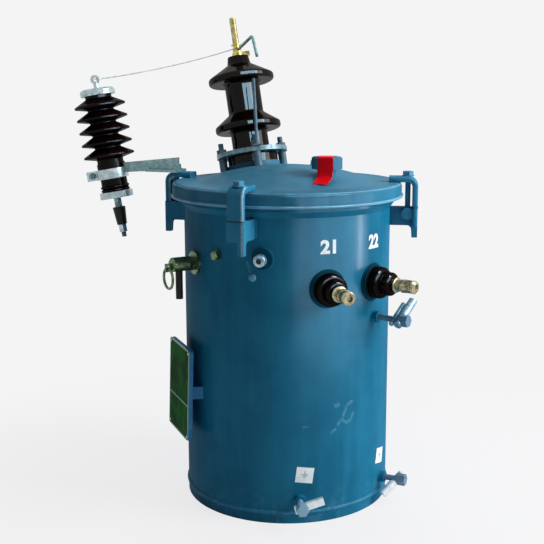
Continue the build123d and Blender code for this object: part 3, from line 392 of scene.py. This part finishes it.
for corner, turn in clampTurns.items():
    special[f"clamp_jaw_{corner}"] = enamel(f"jawPaint_{corner}", {**clampLook, "edgeTurn": turn})
    special[f"clamp_bracket_{corner}"] = special[f"clamp_jaw_{corner}"]
for part in frame["record"]["subparts"]:
    own = special.get(part["node"], finishes[part["material_slot"]])
    nodes[part["node"]].data.materials.clear()
    nodes[part["node"]].data.materials.append(own)
print("materials set:", len(finishes) + len(special))


# mesh helpers
def gridFaces(rows, cols, closedRows, closedCols):
    # quads between neighbouring grid points, row by row, wrapping where a direction is closed
    i, j = np.meshgrid(np.arange(rows - (not closedRows)), np.arange(cols - (not closedCols)), indexing="ij")
    nextI, nextJ = (i + 1) % rows, (j + 1) % cols
    corners = [i * cols + j, nextI * cols + j, nextI * cols + nextJ, i * cols + nextJ]
    return np.stack(corners, -1).reshape(-1, 4)


def setPiece(name, data):
    piece = bpy.data.objects.new(name, data)
    scene.collection.objects.link(piece)
    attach(piece, "root")
    return piece


def addPiece(name, points, faces, material, slot, sheet=False):
    mesh = bpy.data.meshes.new(name)
    mesh.from_pydata(points.reshape(-1, 3).tolist(), [], faces.tolist())
    if not sheet:  # poles and seams are merged, and the faces of a closed form turned outwards
        form = bmesh.new()
        form.from_mesh(mesh)
        bmesh.ops.remove_doubles(form, verts=form.verts, dist=1e-6)
        bmesh.ops.recalc_face_normals(form, faces=form.faces)
        form.to_mesh(mesh)
        form.free()
    mesh.polygons.foreach_set("use_smooth", np.full(len(mesh.polygons), True))
    mesh.materials.append(material)
    return setPiece(name, mesh)


def wallFrame(turn, height, reach):
    # origin at a reach from the wall, then the directions round the tank, up and straight out
    a = radians(turn)
    side, up, out = np.array([cos(a), sin(a), 0.0]), np.array([0, 0, 1.0]), np.array([sin(a), -cos(a), 0.0])
    return out * (tank["radius"] + reach) + [0, 0, height], side, up, out


def onWall(turn, height, u, v, lift):
    # bends flat coordinates u, v round the tank wall at a small lift
    a = radians(turn) + u / tank["radius"]
    r = tank["radius"] + lift
    return np.stack([r * np.sin(a), -r * np.cos(a), height + v], -1)


def shifted(frameOf, x, y, z):
    # a frame's axes at a spot given in its own coordinates
    o, a, b, c = (np.array(frameOf[k]) for k in ("origin", "x", "y", "z"))
    return o + x * a + y * b + z * c, a, b, c


def turned(place, profile, count, hexed=None):
    # profile points (radius, distance) carried round an axis; hexed limits them to a hexagon of that half width
    origin, x, y, z = (np.asarray(p, float) for p in place)
    a = np.linspace(0, 2 * pi, count, endpoint=False)
    radius = np.array([p[0] for p in profile])[:, None] * np.ones(count)
    if hexed:
        radius = np.minimum(radius, hexed / np.cos((a % (pi / 3)) - pi / 6))
    far = np.array([p[1] for p in profile])[:, None, None]
    ring = np.cos(a)[:, None] * x + np.sin(a)[:, None] * y
    return origin + radius[..., None] * ring + far * z, gridFaces(len(profile), count, False, True)


def bead(path, out, radius, closed, ripple=0.16, pitch=0.0035, sides=10):
    # a weld: a round section carried along a path, its radius rippling with the distance run
    step = np.linalg.norm(np.diff(path, axis=0, append=path[:1]), axis=1)
    run = np.concatenate([[0], np.cumsum(step)[:-1]])
    ahead = np.roll(path, -1, 0) - np.roll(path, 1, 0)
    if not closed:
        ahead[0], ahead[-1] = path[1] - path[0], path[-1] - path[-2]
    side = np.cross(ahead / np.linalg.norm(ahead, axis=1)[:, None], out)
    a = np.linspace(0, 2 * pi, sides, endpoint=False)
    size = radius * (1 + ripple * np.sin(2 * pi * run / pitch))
    if not closed:
        size[0] = size[-1] = 0.0
    ring = np.cos(a)[None, :, None] * out[:, None] + np.sin(a)[None, :, None] * side[:, None]
    return path[:, None] + size[:, None, None] * ring, gridFaces(len(path), sides, closed, True)


def joined(parts):
    # several grids as one mesh
    points = [p.reshape(-1, 3) for p, _ in parts]
    starts = np.cumsum([0] + [len(p) for p in points[:-1]])
    return np.concatenate(points), np.concatenate([f + s for (_, f), s in zip(parts, starts)])


# threads: the radius of what they are cut on, and where they start and stop along its axis
threadCuts = {
    "groundStud": {"radius": 0.0045, "start": -0.1384, "stop": -0.128},
    "rod": {"radius": 0.0064, "start": 0.2582, "stop": 0.3144, "pitch": 0.002, "depth": 0.0005},
    "terminal": {"radius": 0.0125, "pitch": 0.0028, "depth": 0.0007},
    "clampBolt": {"radius": 0.005, "start": 0.6, "stop": 0.649}}
terminalSpans = ((0.0686, 0.0770), (0.0890, 0.0946))  # from the wall
clampBoltReach = 0.035
studRelief = 0.0006  # plain end of a stud


def thread(place, radius, start, stop, pitch=0.0015, depth=0.0006, lift=0.00012):
    # a sleeve whose radius follows a triangle wave of distance minus turn
    origin, x, y, z = place
    rows = np.linspace(start, stop, int((stop - start) / pitch * 6) + 1)
    s, a = np.meshgrid(rows, np.linspace(0, 2 * pi, 28, endpoint=False), indexing="ij")
    wave = np.abs(((s / pitch - a / (2 * pi)) % 1.0) * 2 - 1)
    r = radius + lift + depth * wave
    r[0] = r[-1] = 0.0  # closed at both ends, inside the stud
    points = origin + (r * np.cos(a))[..., None] * x + (r * np.sin(a))[..., None] * y + s[..., None] * z
    return points, gridFaces(*s.shape, False, True)


def threads():
    studs = []
    for k in range(4):
        a = radians(bushing["studTurn"] + 90 * k)
        place = shifted(bushing, bushing["studCircle"] * cos(a), bushing["studCircle"] * sin(a), 0.0)
        tab = bushing["tab"] if k == 0 else 0.0  # the first stud also holds the horn's tab
        start, stop = bushing["nutTop"] + tab, bushing["studTop"] + tab - studRelief
        studs.append(thread(place, bushing["studRadius"], start, stop))
    studs.append(thread(shifted(arrester, 0, 0, 0), **threadCuts["groundStud"]))
    addPiece("studThreads", *joined(studs), hornSteel, "galvanised")
    addPiece("rodThread", *thread(shifted(bushing, 0, 0, 0), **threadCuts["rod"]), rodBrass, "brass")
    ends = []
    for turn in lowBushing["turns"]:
        place = wallFrame(turn, lowBushing["height"], -tank["radius"])
        for start, stop in terminalSpans:
            span = {"start": tank["radius"] + start, "stop": tank["radius"] + stop}
            ends.append(thread(place, **threadCuts["terminal"], **span))
    addPiece("terminalThreads", *joined(ends), terminalBronze, "brass")
    bolts = []
    for turn in clampTurns.values():
        spot, side, up, out = wallFrame(turn, 0.0, clampBoltReach)
        bolts.append(thread((spot, side, out, up), **threadCuts["clampBolt"]))
    addPiece("boltThreads", *joined(bolts), clampPaint, "lid_paint")


threads()
print("threads cut")

# welds, dark beads of painted shade where the jaws meet their brackets, and the beads on the lid's edge
weldSizes = {
    "boss": {"ring": 0.0352, "count": 150, "bead": 0.0022},
    "fitting": {"rings": [(*spot, 0.0112) for spot in groundSpots.values()]
                + [(*knobSpot, 0.0202), (*valveSpot, 0.0232)], "count": 90, "bead": 0.0017},
    "clamp": {"sides": (0.0046, 0.0174), "span": (0.561, 0.599), "bead": 0.0026},
    "hanger": {"turn": 180.0, "heights": (0.174, 0.46), "half": 0.036, "sides": (-0.0486, 0.0486), "bead": 0.003},
    "bushing": {"count": 160, "bead": 0.0026},
    "foot": {"inset": 0.0016, "height": 0.0226, "bead": 0.0046, "ripple": 0.05, "pitch": 0.011}}
jaw = {"corner": 0.004, "half": (0.017, 0.00575), "height": 0.599, "reach": 0.04975, "seamShade": 0.0009}
lidEdge = {"hemRadius": 0.2331, "hemHeight": 0.6227, "hemBead": 0.0029,
           "creaseRadius": 0.2299, "creaseHeight": 0.6469, "creaseBead": 0.0012}
plainBead = {"ripple": 0.0, "pitch": 1.0}


def outward(path):
    # level directions from the tank's axis
    out = path * [1, 1, 0]
    return out / np.linalg.norm(out, axis=1)[:, None]


def wallRing(turn, height, radius, count):
    # a circle laid on the wall
    a = np.linspace(0, 2 * pi, count, endpoint=False)
    path = onWall(turn, height, radius * np.cos(a), radius * np.sin(a), 0.0)
    return path, outward(path)


def wallRun(turn, shift, low, high, pace=0.0012):
    # an upright line on the wall, shifted to one side of a turn
    v = np.linspace(low, high, max(12, int((high - low) / pace)))
    path = onWall(turn, 0.0, np.full(len(v), shift), v, 0.0)
    return path, outward(path)


def jawSection(turn):
    # the clamp bar's rounded section where its leg meets the bracket: a rectangle with corner arcs
    a = np.linspace(0, 2 * pi, 64, endpoint=False)
    u = np.sign(np.cos(a)) * (jaw["half"][0] - jaw["corner"]) + jaw["corner"] * np.cos(a)
    w = np.sign(np.sin(a)) * (jaw["half"][1] - jaw["corner"]) + jaw["corner"] * np.sin(a)
    spot, side, up, out = wallFrame(turn, jaw["height"], jaw["reach"])
    normal = np.cos(a)[:, None] * side + np.sin(a)[:, None] * out
    return spot + u[:, None] * side + w[:, None] * out, normal


def bossRing(count):
    # where the bushing's round boss meets the dome: slide along the boss until the heights agree
    o, x, y, z = shifted(bushing, 0, 0, 0)
    a = np.linspace(0, 2 * pi, count, endpoint=False)
    ring = o + bushing["bossRadius"] * (np.cos(a)[:, None] * x + np.sin(a)[:, None] * y)
    ballMiddle = tank["rimTop"] + tank["domeRise"] - tank["domeRadius"]
    s = np.zeros(count)
    for _ in range(8):
        p = ring + s[:, None] * z
        domeHeight = ballMiddle + np.sqrt(tank["domeRadius"] ** 2 - (p[:, :2] ** 2).sum(1))
        s += (domeHeight - p[:, 2]) / z[2]
    out = (ring - o) / bushing["bossRadius"] + z
    return ring + s[:, None] * z, out / np.linalg.norm(out, axis=1)[:, None]


def welds():
    boss, fitting, clamp, hanger = (weldSizes[k] for k in ("boss", "fitting", "clamp", "hanger"))
    rings = [wallRing(turn, lowBushing["height"], boss["ring"], boss["count"]) for turn in lowBushing["turns"]]
    addPiece("bossWelds", *joined([bead(*ring, boss["bead"], True) for ring in rings]), bossPaint, "tank_paint")
    parts = [bead(*wallRing(*ring, fitting["count"]), fitting["bead"], True) for ring in fitting["rings"]]
    for turn in clampTurns.values():
        for side in clamp["sides"]:
            parts.append(bead(*wallRun(turn, side, *clamp["span"]), clamp["bead"], False))
    for middle in hanger["heights"]:
        for side in hanger["sides"]:
            run = wallRun(hanger["turn"], side, middle - hanger["half"], middle + hanger["half"])
            parts.append(bead(*run, hanger["bead"], False))
    addPiece("tankWelds", *joined(parts), tankPaint, "tank_paint")
    # a dark bead round each jaw where it meets its bracket, in the rubber finish: painted shade in the gap between them
    seams = [bead(*jawSection(turn), jaw["seamShade"], True, **plainBead) for turn in clampTurns.values()]
    addPiece("jawSeams", *joined(seams), rubber, "lid_paint")
    root = weldSizes["bushing"]
    addPiece("bushingWeld", *bead(*bossRing(root["count"]), root["bead"], True), lidPaint, "lid_paint")


def edgeBeads():
    # level rings round the tank: the foot's weld, the lid's hem and the crease over its skirt, each in a lighter paint
    # that paints a highlight along it
    a = np.linspace(0, 2 * pi, 720, endpoint=False)
    out = np.stack([np.sin(a), -np.cos(a), np.zeros_like(a)], -1)
    foot = weldSizes["foot"]
    path = out * (tank["radius"] - foot["inset"]) + [0, 0, foot["height"]]
    footBead = bead(path, out, foot["bead"], True, foot["ripple"], foot["pitch"])
    # the foot's weld takes the lighter clamp paint, a painted highlight along the tank's foot
    addPiece("footWeld", *footBead, clampPaint, "tank_paint")
    path = out * lidEdge["hemRadius"] + [0, 0, lidEdge["hemHeight"]]
    hem = bead(path, out, lidEdge["hemBead"], True, **plainBead)
    path = out * lidEdge["creaseRadius"] + [0, 0, lidEdge["creaseHeight"]]
    crease = bead(path, out * 0.7071 + [0, 0, 0.7071], lidEdge["creaseBead"], True, **plainBead)
    addPiece("lidHem", *joined([hem, crease]), hemPaint, "lid_paint")


welds()
edgeBeads()
print("welds and edge beads laid")

# small fittings; outlines are (radius, distance) points
earBolt = {
    "reach": 0.047, "half": 0.004, "flat": 0.0065, "head": 0.0058, "shank": 0.004, "length": 0.003, "endFrom": 0.0098,
    "end": [(0.0, 0.005), (0.0034, 0.005), (0.004, 0.0042), (0.004, 0.0), (0.0, 0.0)]}
rivet = {"across": 0.058, "up": 0.0845, "radius": 0.0028, "rise": 0.0015}
washer = {"reach": 0.053, "outline": [
    (0.0, -0.0004), (0.0148, -0.0004), (0.0154, 0.0004), (0.0154, 0.0022), (0.0148, 0.003), (0.0, 0.003)]}
sealRing = {"reach": 0.004, "outline": [
    (0.02, -0.0002), (0.0316, -0.0002), (0.0322, 0.001), (0.0316, 0.0024), (0.02, 0.0024), (0.02, -0.0002)]}
stub = {"turn": -55.1, "height": 0.487, "reach": -0.0006, "radius": 0.0078, "rise": 0.0042}


def hexBolt(place, size):
    # hexagon head with a rounded crown, then a plain shank behind it
    flat, head, shank, length = (size[k] for k in ("flat", "head", "shank", "length"))
    crown = flat * 1.12
    profile = [(0.0, head), (flat * 0.9, head), (crown, head - flat * 0.12), (crown, 0.0),
               (shank, 0.0), (shank, -length), (0.0, -length)]
    return turned(place, profile, 36, flat)


def dome(place, radius, rise):
    # part of a ball on a flat base: radius falls as the cosine while the height climbs as the sine
    t = np.linspace(0, pi / 2, 9)
    return turned(place, [(0.0, 0.0)] + [(radius * cos(k), rise * sin(k)) for k in t], 24)


def smallFittings():
    earBolts = []
    for side in (1, -1):
        o, x, y, z = shifted(arrester, earBolt["reach"], side * earBolt["half"], 0.0)
        earBolts.append(hexBolt((o, z, x * side, y * side), earBolt))
    o, x, y, z = shifted(arrester, earBolt["reach"], earBolt["endFrom"], 0.0)
    earBolts.append(turned((o, z, x, y), earBolt["end"], 24))
    addPiece("bandBolt", *joined(earBolts), agedZinc, "galvanised")
    spots = [shifted(plate, sx * rivet["across"], sy * rivet["up"], 0.0) for sx in (-1, 1) for sy in (-1, 1)]
    rivets = [dome(spot, rivet["radius"], rivet["rise"]) for spot in spots]
    addPiece("plateRivets", *joined(rivets), galvanised, "plate_metal")
    turns, height = lowBushing["turns"], lowBushing["height"]
    rings = [turned(wallFrame(turn, height, washer["reach"]), washer["outline"], 48) for turn in turns]
    addPiece("terminalWashers", *joined(rings), terminalBronze, "brass")
    seals = [turned(wallFrame(turn, height, sealRing["reach"]), sealRing["outline"], 64) for turn in turns]
    addPiece("bushingSeals", *joined(seals), rubber, "gasket")
    place = wallFrame(stub["turn"], stub["height"], stub["reach"])
    addPiece("paintedStub", *dome(place, stub["radius"], stub["rise"]), hemPaint, "lid_paint")


smallFittings()
print("small fittings made")

# strip over the filler's cap, with its loose end drifting to one side; its line is (way out, height)
seal = {
    "axis": (0.0, -0.128), "turn": -45.0, "width": 0.029, "thickness": 0.0012, "drift": 0.009, "rows": 90, "cols": 28,
    "line": [(-0.004, 0.7072), (0.012, 0.7073), (0.0225, 0.7072), (0.0262, 0.7064), (0.0273, 0.7035),
             (0.0274, 0.694), (0.0275, 0.682), (0.0277, 0.673), (0.0292, 0.6688), (0.033, 0.6664),
             (0.040, 0.6634), (0.047, 0.6603), (0.0536, 0.6573)]}


def sealRibbon():
    # a flat rounded section carried along a line smoothed by a bell-shaped mean; the loose half slides
    # sideways as the square of the way
    line = np.array(seal["line"])
    far = np.concatenate([[0], np.cumsum(np.linalg.norm(np.diff(line, axis=0), axis=1))])
    run = np.linspace(0, far[-1], seal["rows"])
    spot = np.stack([np.interp(run, far, line[:, 0]), np.interp(run, far, line[:, 1])], -1)
    kernel = np.hanning(9) / np.hanning(9).sum()
    spot[4:-4] = np.stack([np.convolve(spot[:, k], kernel, "valid") for k in (0, 1)], -1)
    turn = radians(seal["turn"])
    out, side, up = np.array([sin(turn), -cos(turn), 0.0]), np.array([cos(turn), sin(turn), 0.0]), np.array([0, 0, 1.0])
    ahead = np.gradient(spot, axis=0)
    ahead /= np.linalg.norm(ahead, axis=1)[:, None]
    lift = -ahead[:, 1:] * out + ahead[:, :1] * up
    share = run / run[-1]
    slide = -seal["drift"] * np.clip((share - 0.5) / 0.5, 0, 1) ** 2
    middle = np.array([*seal["axis"], 0.0]) + spot[:, :1] * out + spot[:, 1:] * up + slide[:, None] * side
    a = np.linspace(0, 2 * pi, seal["cols"], endpoint=False)
    wide = np.sign(np.cos(a)) * np.abs(np.cos(a)) ** 0.25 * seal["width"] / 2
    thick = np.sign(np.sin(a)) * np.abs(np.sin(a)) ** 0.6 * seal["thickness"] / 2
    end = np.where((share == 0) | (share == 1), 0.0, 1.0)[:, None]
    points = middle[:, None] + (end * wide)[..., None] * side + (end * thick)[..., None] * lift[:, None]
    faces = gridFaces(seal["rows"], seal["cols"], False, True)
    piece = addPiece("sealRibbon", points, faces, redStrip, "red_strip")
    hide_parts("seal_strip")


sealRibbon()
print("strip laid")

# marks on the wall; a sticker's symbol is bars given by middle and size
stencils = {
    "stencilLeft": {"words": "21", "turn": -15.5, "height": 0.545, "size": (0.032, 0.027)},
    "stencilRight": {"words": "22", "turn": 15.9, "height": 0.545, "size": (0.034, 0.028)}}
stencilWeight, stencilLift = 0.046, 0.0004
stickers = {
    "lift": 0.0004, "symbolLift": 0.0006,
    "places": [{"turn": -27.7, "height": 0.0988, "size": (0.0345, 0.0315), "tilt": -8.0},
               {"turn": 27.0, "height": 0.0955, "size": (0.035, 0.0315), "tilt": -12.0}],
    "symbol": [((0, 0.005), (0.0012, 0.008)), ((0, 0.001), (0.013, 0.0012)),
               ((0, -0.002), (0.0085, 0.0012)), ((0, -0.005), (0.004, 0.0012))]}


def wallText(name, look):
    # flat lettering made a mesh, then bent round the wall
    curve = bpy.data.curves.new(name, "FONT")
    curve.body = look["words"]
    curve.align_x = "CENTER"
    curve.align_y = "CENTER"
    curve.offset = stencilWeight
    curve.resolution_u = 6
    holder = bpy.data.objects.new(name, curve)
    scene.collection.objects.link(holder)
    mesh = bpy.data.meshes.new_from_object(holder.evaluated_get(bpy.context.evaluated_depsgraph_get()))
    bpy.data.objects.remove(holder)
    flat = np.zeros(len(mesh.vertices) * 3)
    mesh.vertices.foreach_get("co", flat)
    flat = flat.reshape(-1, 3)
    low, high = flat.min(0), flat.max(0)
    u = ((flat[:, 0] - low[0]) / (high[0] - low[0]) - 0.5) * look["size"][0]
    v = ((flat[:, 1] - low[1]) / (high[1] - low[1]) - 0.5) * look["size"][1]
    mesh.vertices.foreach_set("co", onWall(look["turn"], look["height"], u, v, stencilLift).ravel())
    mesh.update()
    mesh.materials.clear()
    mesh.materials.append(stencilWhite)
    setPiece(name, mesh)


def wallPatch(place, middle, size, lift, rows=7, cols=15):
    # a flat rectangle, tilted in its own plane and bent round the wall
    u, v = np.meshgrid(np.linspace(-0.5, 0.5, cols) * size[0] + middle[0],
                       np.linspace(-0.5, 0.5, rows) * size[1] + middle[1])
    c, s = cos(radians(place["tilt"])), sin(radians(place["tilt"]))
    points = onWall(place["turn"], place["height"], u * c - v * s, u * s + v * c, lift)
    return points, gridFaces(rows, cols, False, False)[:, ::-1]


def marks():
    for name, look in stencils.items():
        wallText(name, look)
    sheets = [wallPatch(place, (0, 0), place["size"], stickers["lift"]) for place in stickers["places"]]
    addPiece("groundStickers", *joined(sheets), stencilWhite, "tank_paint", True)
    bars = [wallPatch(place, middle, size, stickers["symbolLift"])
            for place in stickers["places"] for middle, size in stickers["symbol"]]
    addPiece("groundSymbols", *joined(bars), stickerGrey, "tank_paint", True)


marks()
print("wall marks set")

# bare lead from the arrester's eye to the bushing's terminal, on the part's own route
lead = {
    "radius": 0.0012, "length": 0.327,
    "route": [(-0.252619, 0.345086, 0.85276), (-0.237874, 0.35541, 0.85276), (-0.196456, 0.326555, 0.86009),
              (-0.155037, 0.2977, 0.868974), (-0.113619, 0.268845, 0.879414), (-0.072201, 0.23999, 0.89141),
              (-0.030782, 0.211135, 0.904962), (0.010636, 0.18228, 0.920068)]}


def bareLead():
    # a NURBS spline with the route's points as its control points, and a round section
    route = lead["route"]
    curve = bpy.data.curves.new("bareLead", "CURVE")
    curve.dimensions = "3D"
    spline = curve.splines.new("NURBS")
    spline.points.add(len(route) - 1)
    spline.points.foreach_set("co", np.column_stack([route, np.ones(len(route))]).ravel())
    spline.order_u = 3
    spline.use_endpoint_u = True
    spline.resolution_u = 12
    curve.bevel_depth = lead["radius"]
    curve.bevel_resolution = 4
    curve.use_fill_caps = True
    curve.materials.append(wireMetal)
    piece = setPiece("bareLead", curve)
    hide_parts("arrester_lead")


bareLead()
print("lead strung")

# floor and light; a lamp with nodes only gives those nodes, and its pieces, a bright streak
stageLook = {
    "floorSize": 16.0, "floorTone": (0.9, 0.9, 0.91, 1.0), "backTone": (0.905, 0.905, 0.915, 1.0),
    "worldLight": 0.1, "shadowShare": 0.14, "shadowSpan": (0.05, 1.2)}
lamps = {
    "keyLamp": {"spot": (1.42, -1.85, 1.55), "aim": (0, 0, 0.4), "size": (1.3, 1.5), "power": 70.0},
    "topLamp": {"spot": (0.2, -0.2, 2.7), "aim": (0, 0, 0.4), "size": (1.6, 1.6), "power": 18.0, "glossy": False},
    "backLamp": {"spot": (1.35, 2.1, 1.7), "aim": (0, 0, 0.4), "size": (1.8, 1.4), "power": 30.0, "glossy": False},
    "windowLamp": {
        "spot": (-0.2, -2.4, 2.05), "aim": (0, 0.15, 0.85), "size": (3.2, 1.6), "power": 620.0,
        "colour": (0.5, 0.8, 1.0),
        "nodes": ("hv_bushing", "arrester_housing", "lv_bushing", "lid", "clamp_", "filler"), "pieces": ["lidHem"]},
    "lowLamp": {
        "spot": (0.25, -1.275, 0.32), "aim": (0, 0, 0.32), "size": (2.2, 0.6), "power": 54.0,
        "colour": (0.8, 0.92, 1.0), "nodes": ("tank_", "lid"), "pieces": ["footWeld"]},
    "stripLamp": {
        "spot": (0.9, -0.94, 0.37), "aim": (0, 0, 0.37), "size": (0.1, 0.22), "power": 9.0,
        "colour": (0.8, 0.92, 1.0), "nodes": ("tank_",), "pieces": []},
    "ribLamp": {
        "spot": (0.57, -1.06, 2.06), "aim": (0.06, -0.25, 0.465), "size": (0.35, 0.9), "power": 240.0,
        "colour": (0.8, 0.92, 1.0), "nodes": ("lv_bushing",), "pieces": []}}


def paleShare(tree):
    # 1 for the rays that meet the pale background: camera, glossy and transmission rays
    path = tree.nodes.new("ShaderNodeLightPath")
    seen, glossy, through = (Wire(tree, path.outputs[f"Is {ray} Ray"]) for ray in ("Camera", "Glossy", "Transmission"))
    return (seen + glossy + through).clamped()


def floorSheet():
    # a flat square far wider than the object; seen directly it is mostly its own pale tone, and it keeps the shadow
    half = stageLook["floorSize"] / 2
    corners = [(-half, -half, 0), (half, -half, 0), (half, half, 0), (-half, half, 0)]
    mesh = bpy.data.meshes.new("floor")
    mesh.from_pydata(corners, [], [(0, 1, 2, 3)])
    floor = bpy.data.objects.new("floor", mesh)
    scene.collection.objects.link(floor)
    f = Finish("floorPale", Roughness=0.9, Base_Color=stageLook["floorTone"])
    away = f.step(f.part("X") * f.part("X") + f.part("Y") * f.part("Y"), *stageLook["shadowSpan"])
    share = paleShare(f.tree) * (1.0 - stageLook["shadowShare"] + away * stageLook["shadowShare"])
    tone = f.add("ShaderNodeEmission", {}, {"Color": stageLook["backTone"], "Strength": 1.0})
    whole = f.add("ShaderNodeMixShader", {}, {0: share, 1: Wire(f.tree, f.shader.outputs[0]), 2: tone})
    f.tree.links.new(whole.socket, f.tree.nodes["Material Output"].inputs["Surface"])
    mesh.materials.append(f.material)


def worldLight():
    world = bpy.data.worlds.new("studio")
    scene.world = world
    world.use_nodes = True
    tree = world.node_tree
    strength = paleShare(tree) * (1.0 - stageLook["worldLight"]) + stageLook["worldLight"]
    background = tree.nodes["Background"]
    background.inputs["Color"].default_value = stageLook["backTone"]
    tree.links.new(strength.socket, background.inputs["Strength"])


def areaLamp(name, look):
    lamp = bpy.data.lights.new(name, "AREA")
    lamp.shape = "RECTANGLE"
    lamp.size, lamp.size_y = look["size"]
    lamp.energy = look["power"]
    lamp.color = look.get("colour", (1.0, 1.0, 1.0))
    holder = bpy.data.objects.new(name, lamp)
    scene.collection.objects.link(holder)
    away = np.array(look["spot"]) - np.array(look["aim"])
    holder.location = look["spot"]
    holder.rotation_euler = (np.arctan2(np.hypot(away[0], away[1]), away[2]), 0, np.arctan2(away[0], -away[1]))
    holder.visible_glossy = look.get("glossy", True)
    if "nodes" in look:
        holder.visible_diffuse = holder.visible_camera = False
        takers = bpy.data.collections.new("streakTakers")
        for node in nodes:
            if node.startswith(look["nodes"]):
                takers.objects.link(nodes[node])
        for piece in look["pieces"]:
            takers.objects.link(bpy.data.objects[piece])
        holder.light_linking.receiver_collection = takers


floorSheet()
worldLight()
for name, look in lamps.items():
    areaLamp(name, look)
print("floor and lamps set")

# camera at the photograph's angle
view = {
    "lens": 66.5, "sensor": 36.0, "place": (-1.2316, -1.6344, 0.854), "pitch": 10.456, "turn": -37.0,
    "shift": (-0.0278, -0.0147)}
camera = bpy.data.cameras.new("camera")
camera.lens = view["lens"]
camera.sensor_width = view["sensor"]
camera.shift_x, camera.shift_y = view["shift"]
cameraObject = bpy.data.objects.new("camera", camera)
cameraObject.location = view["place"]
cameraObject.rotation_euler = (radians(90.0 - view["pitch"]), 0.0, radians(view["turn"]))
scene.collection.objects.link(cameraObject)
scene.camera = cameraObject
print("camera set")
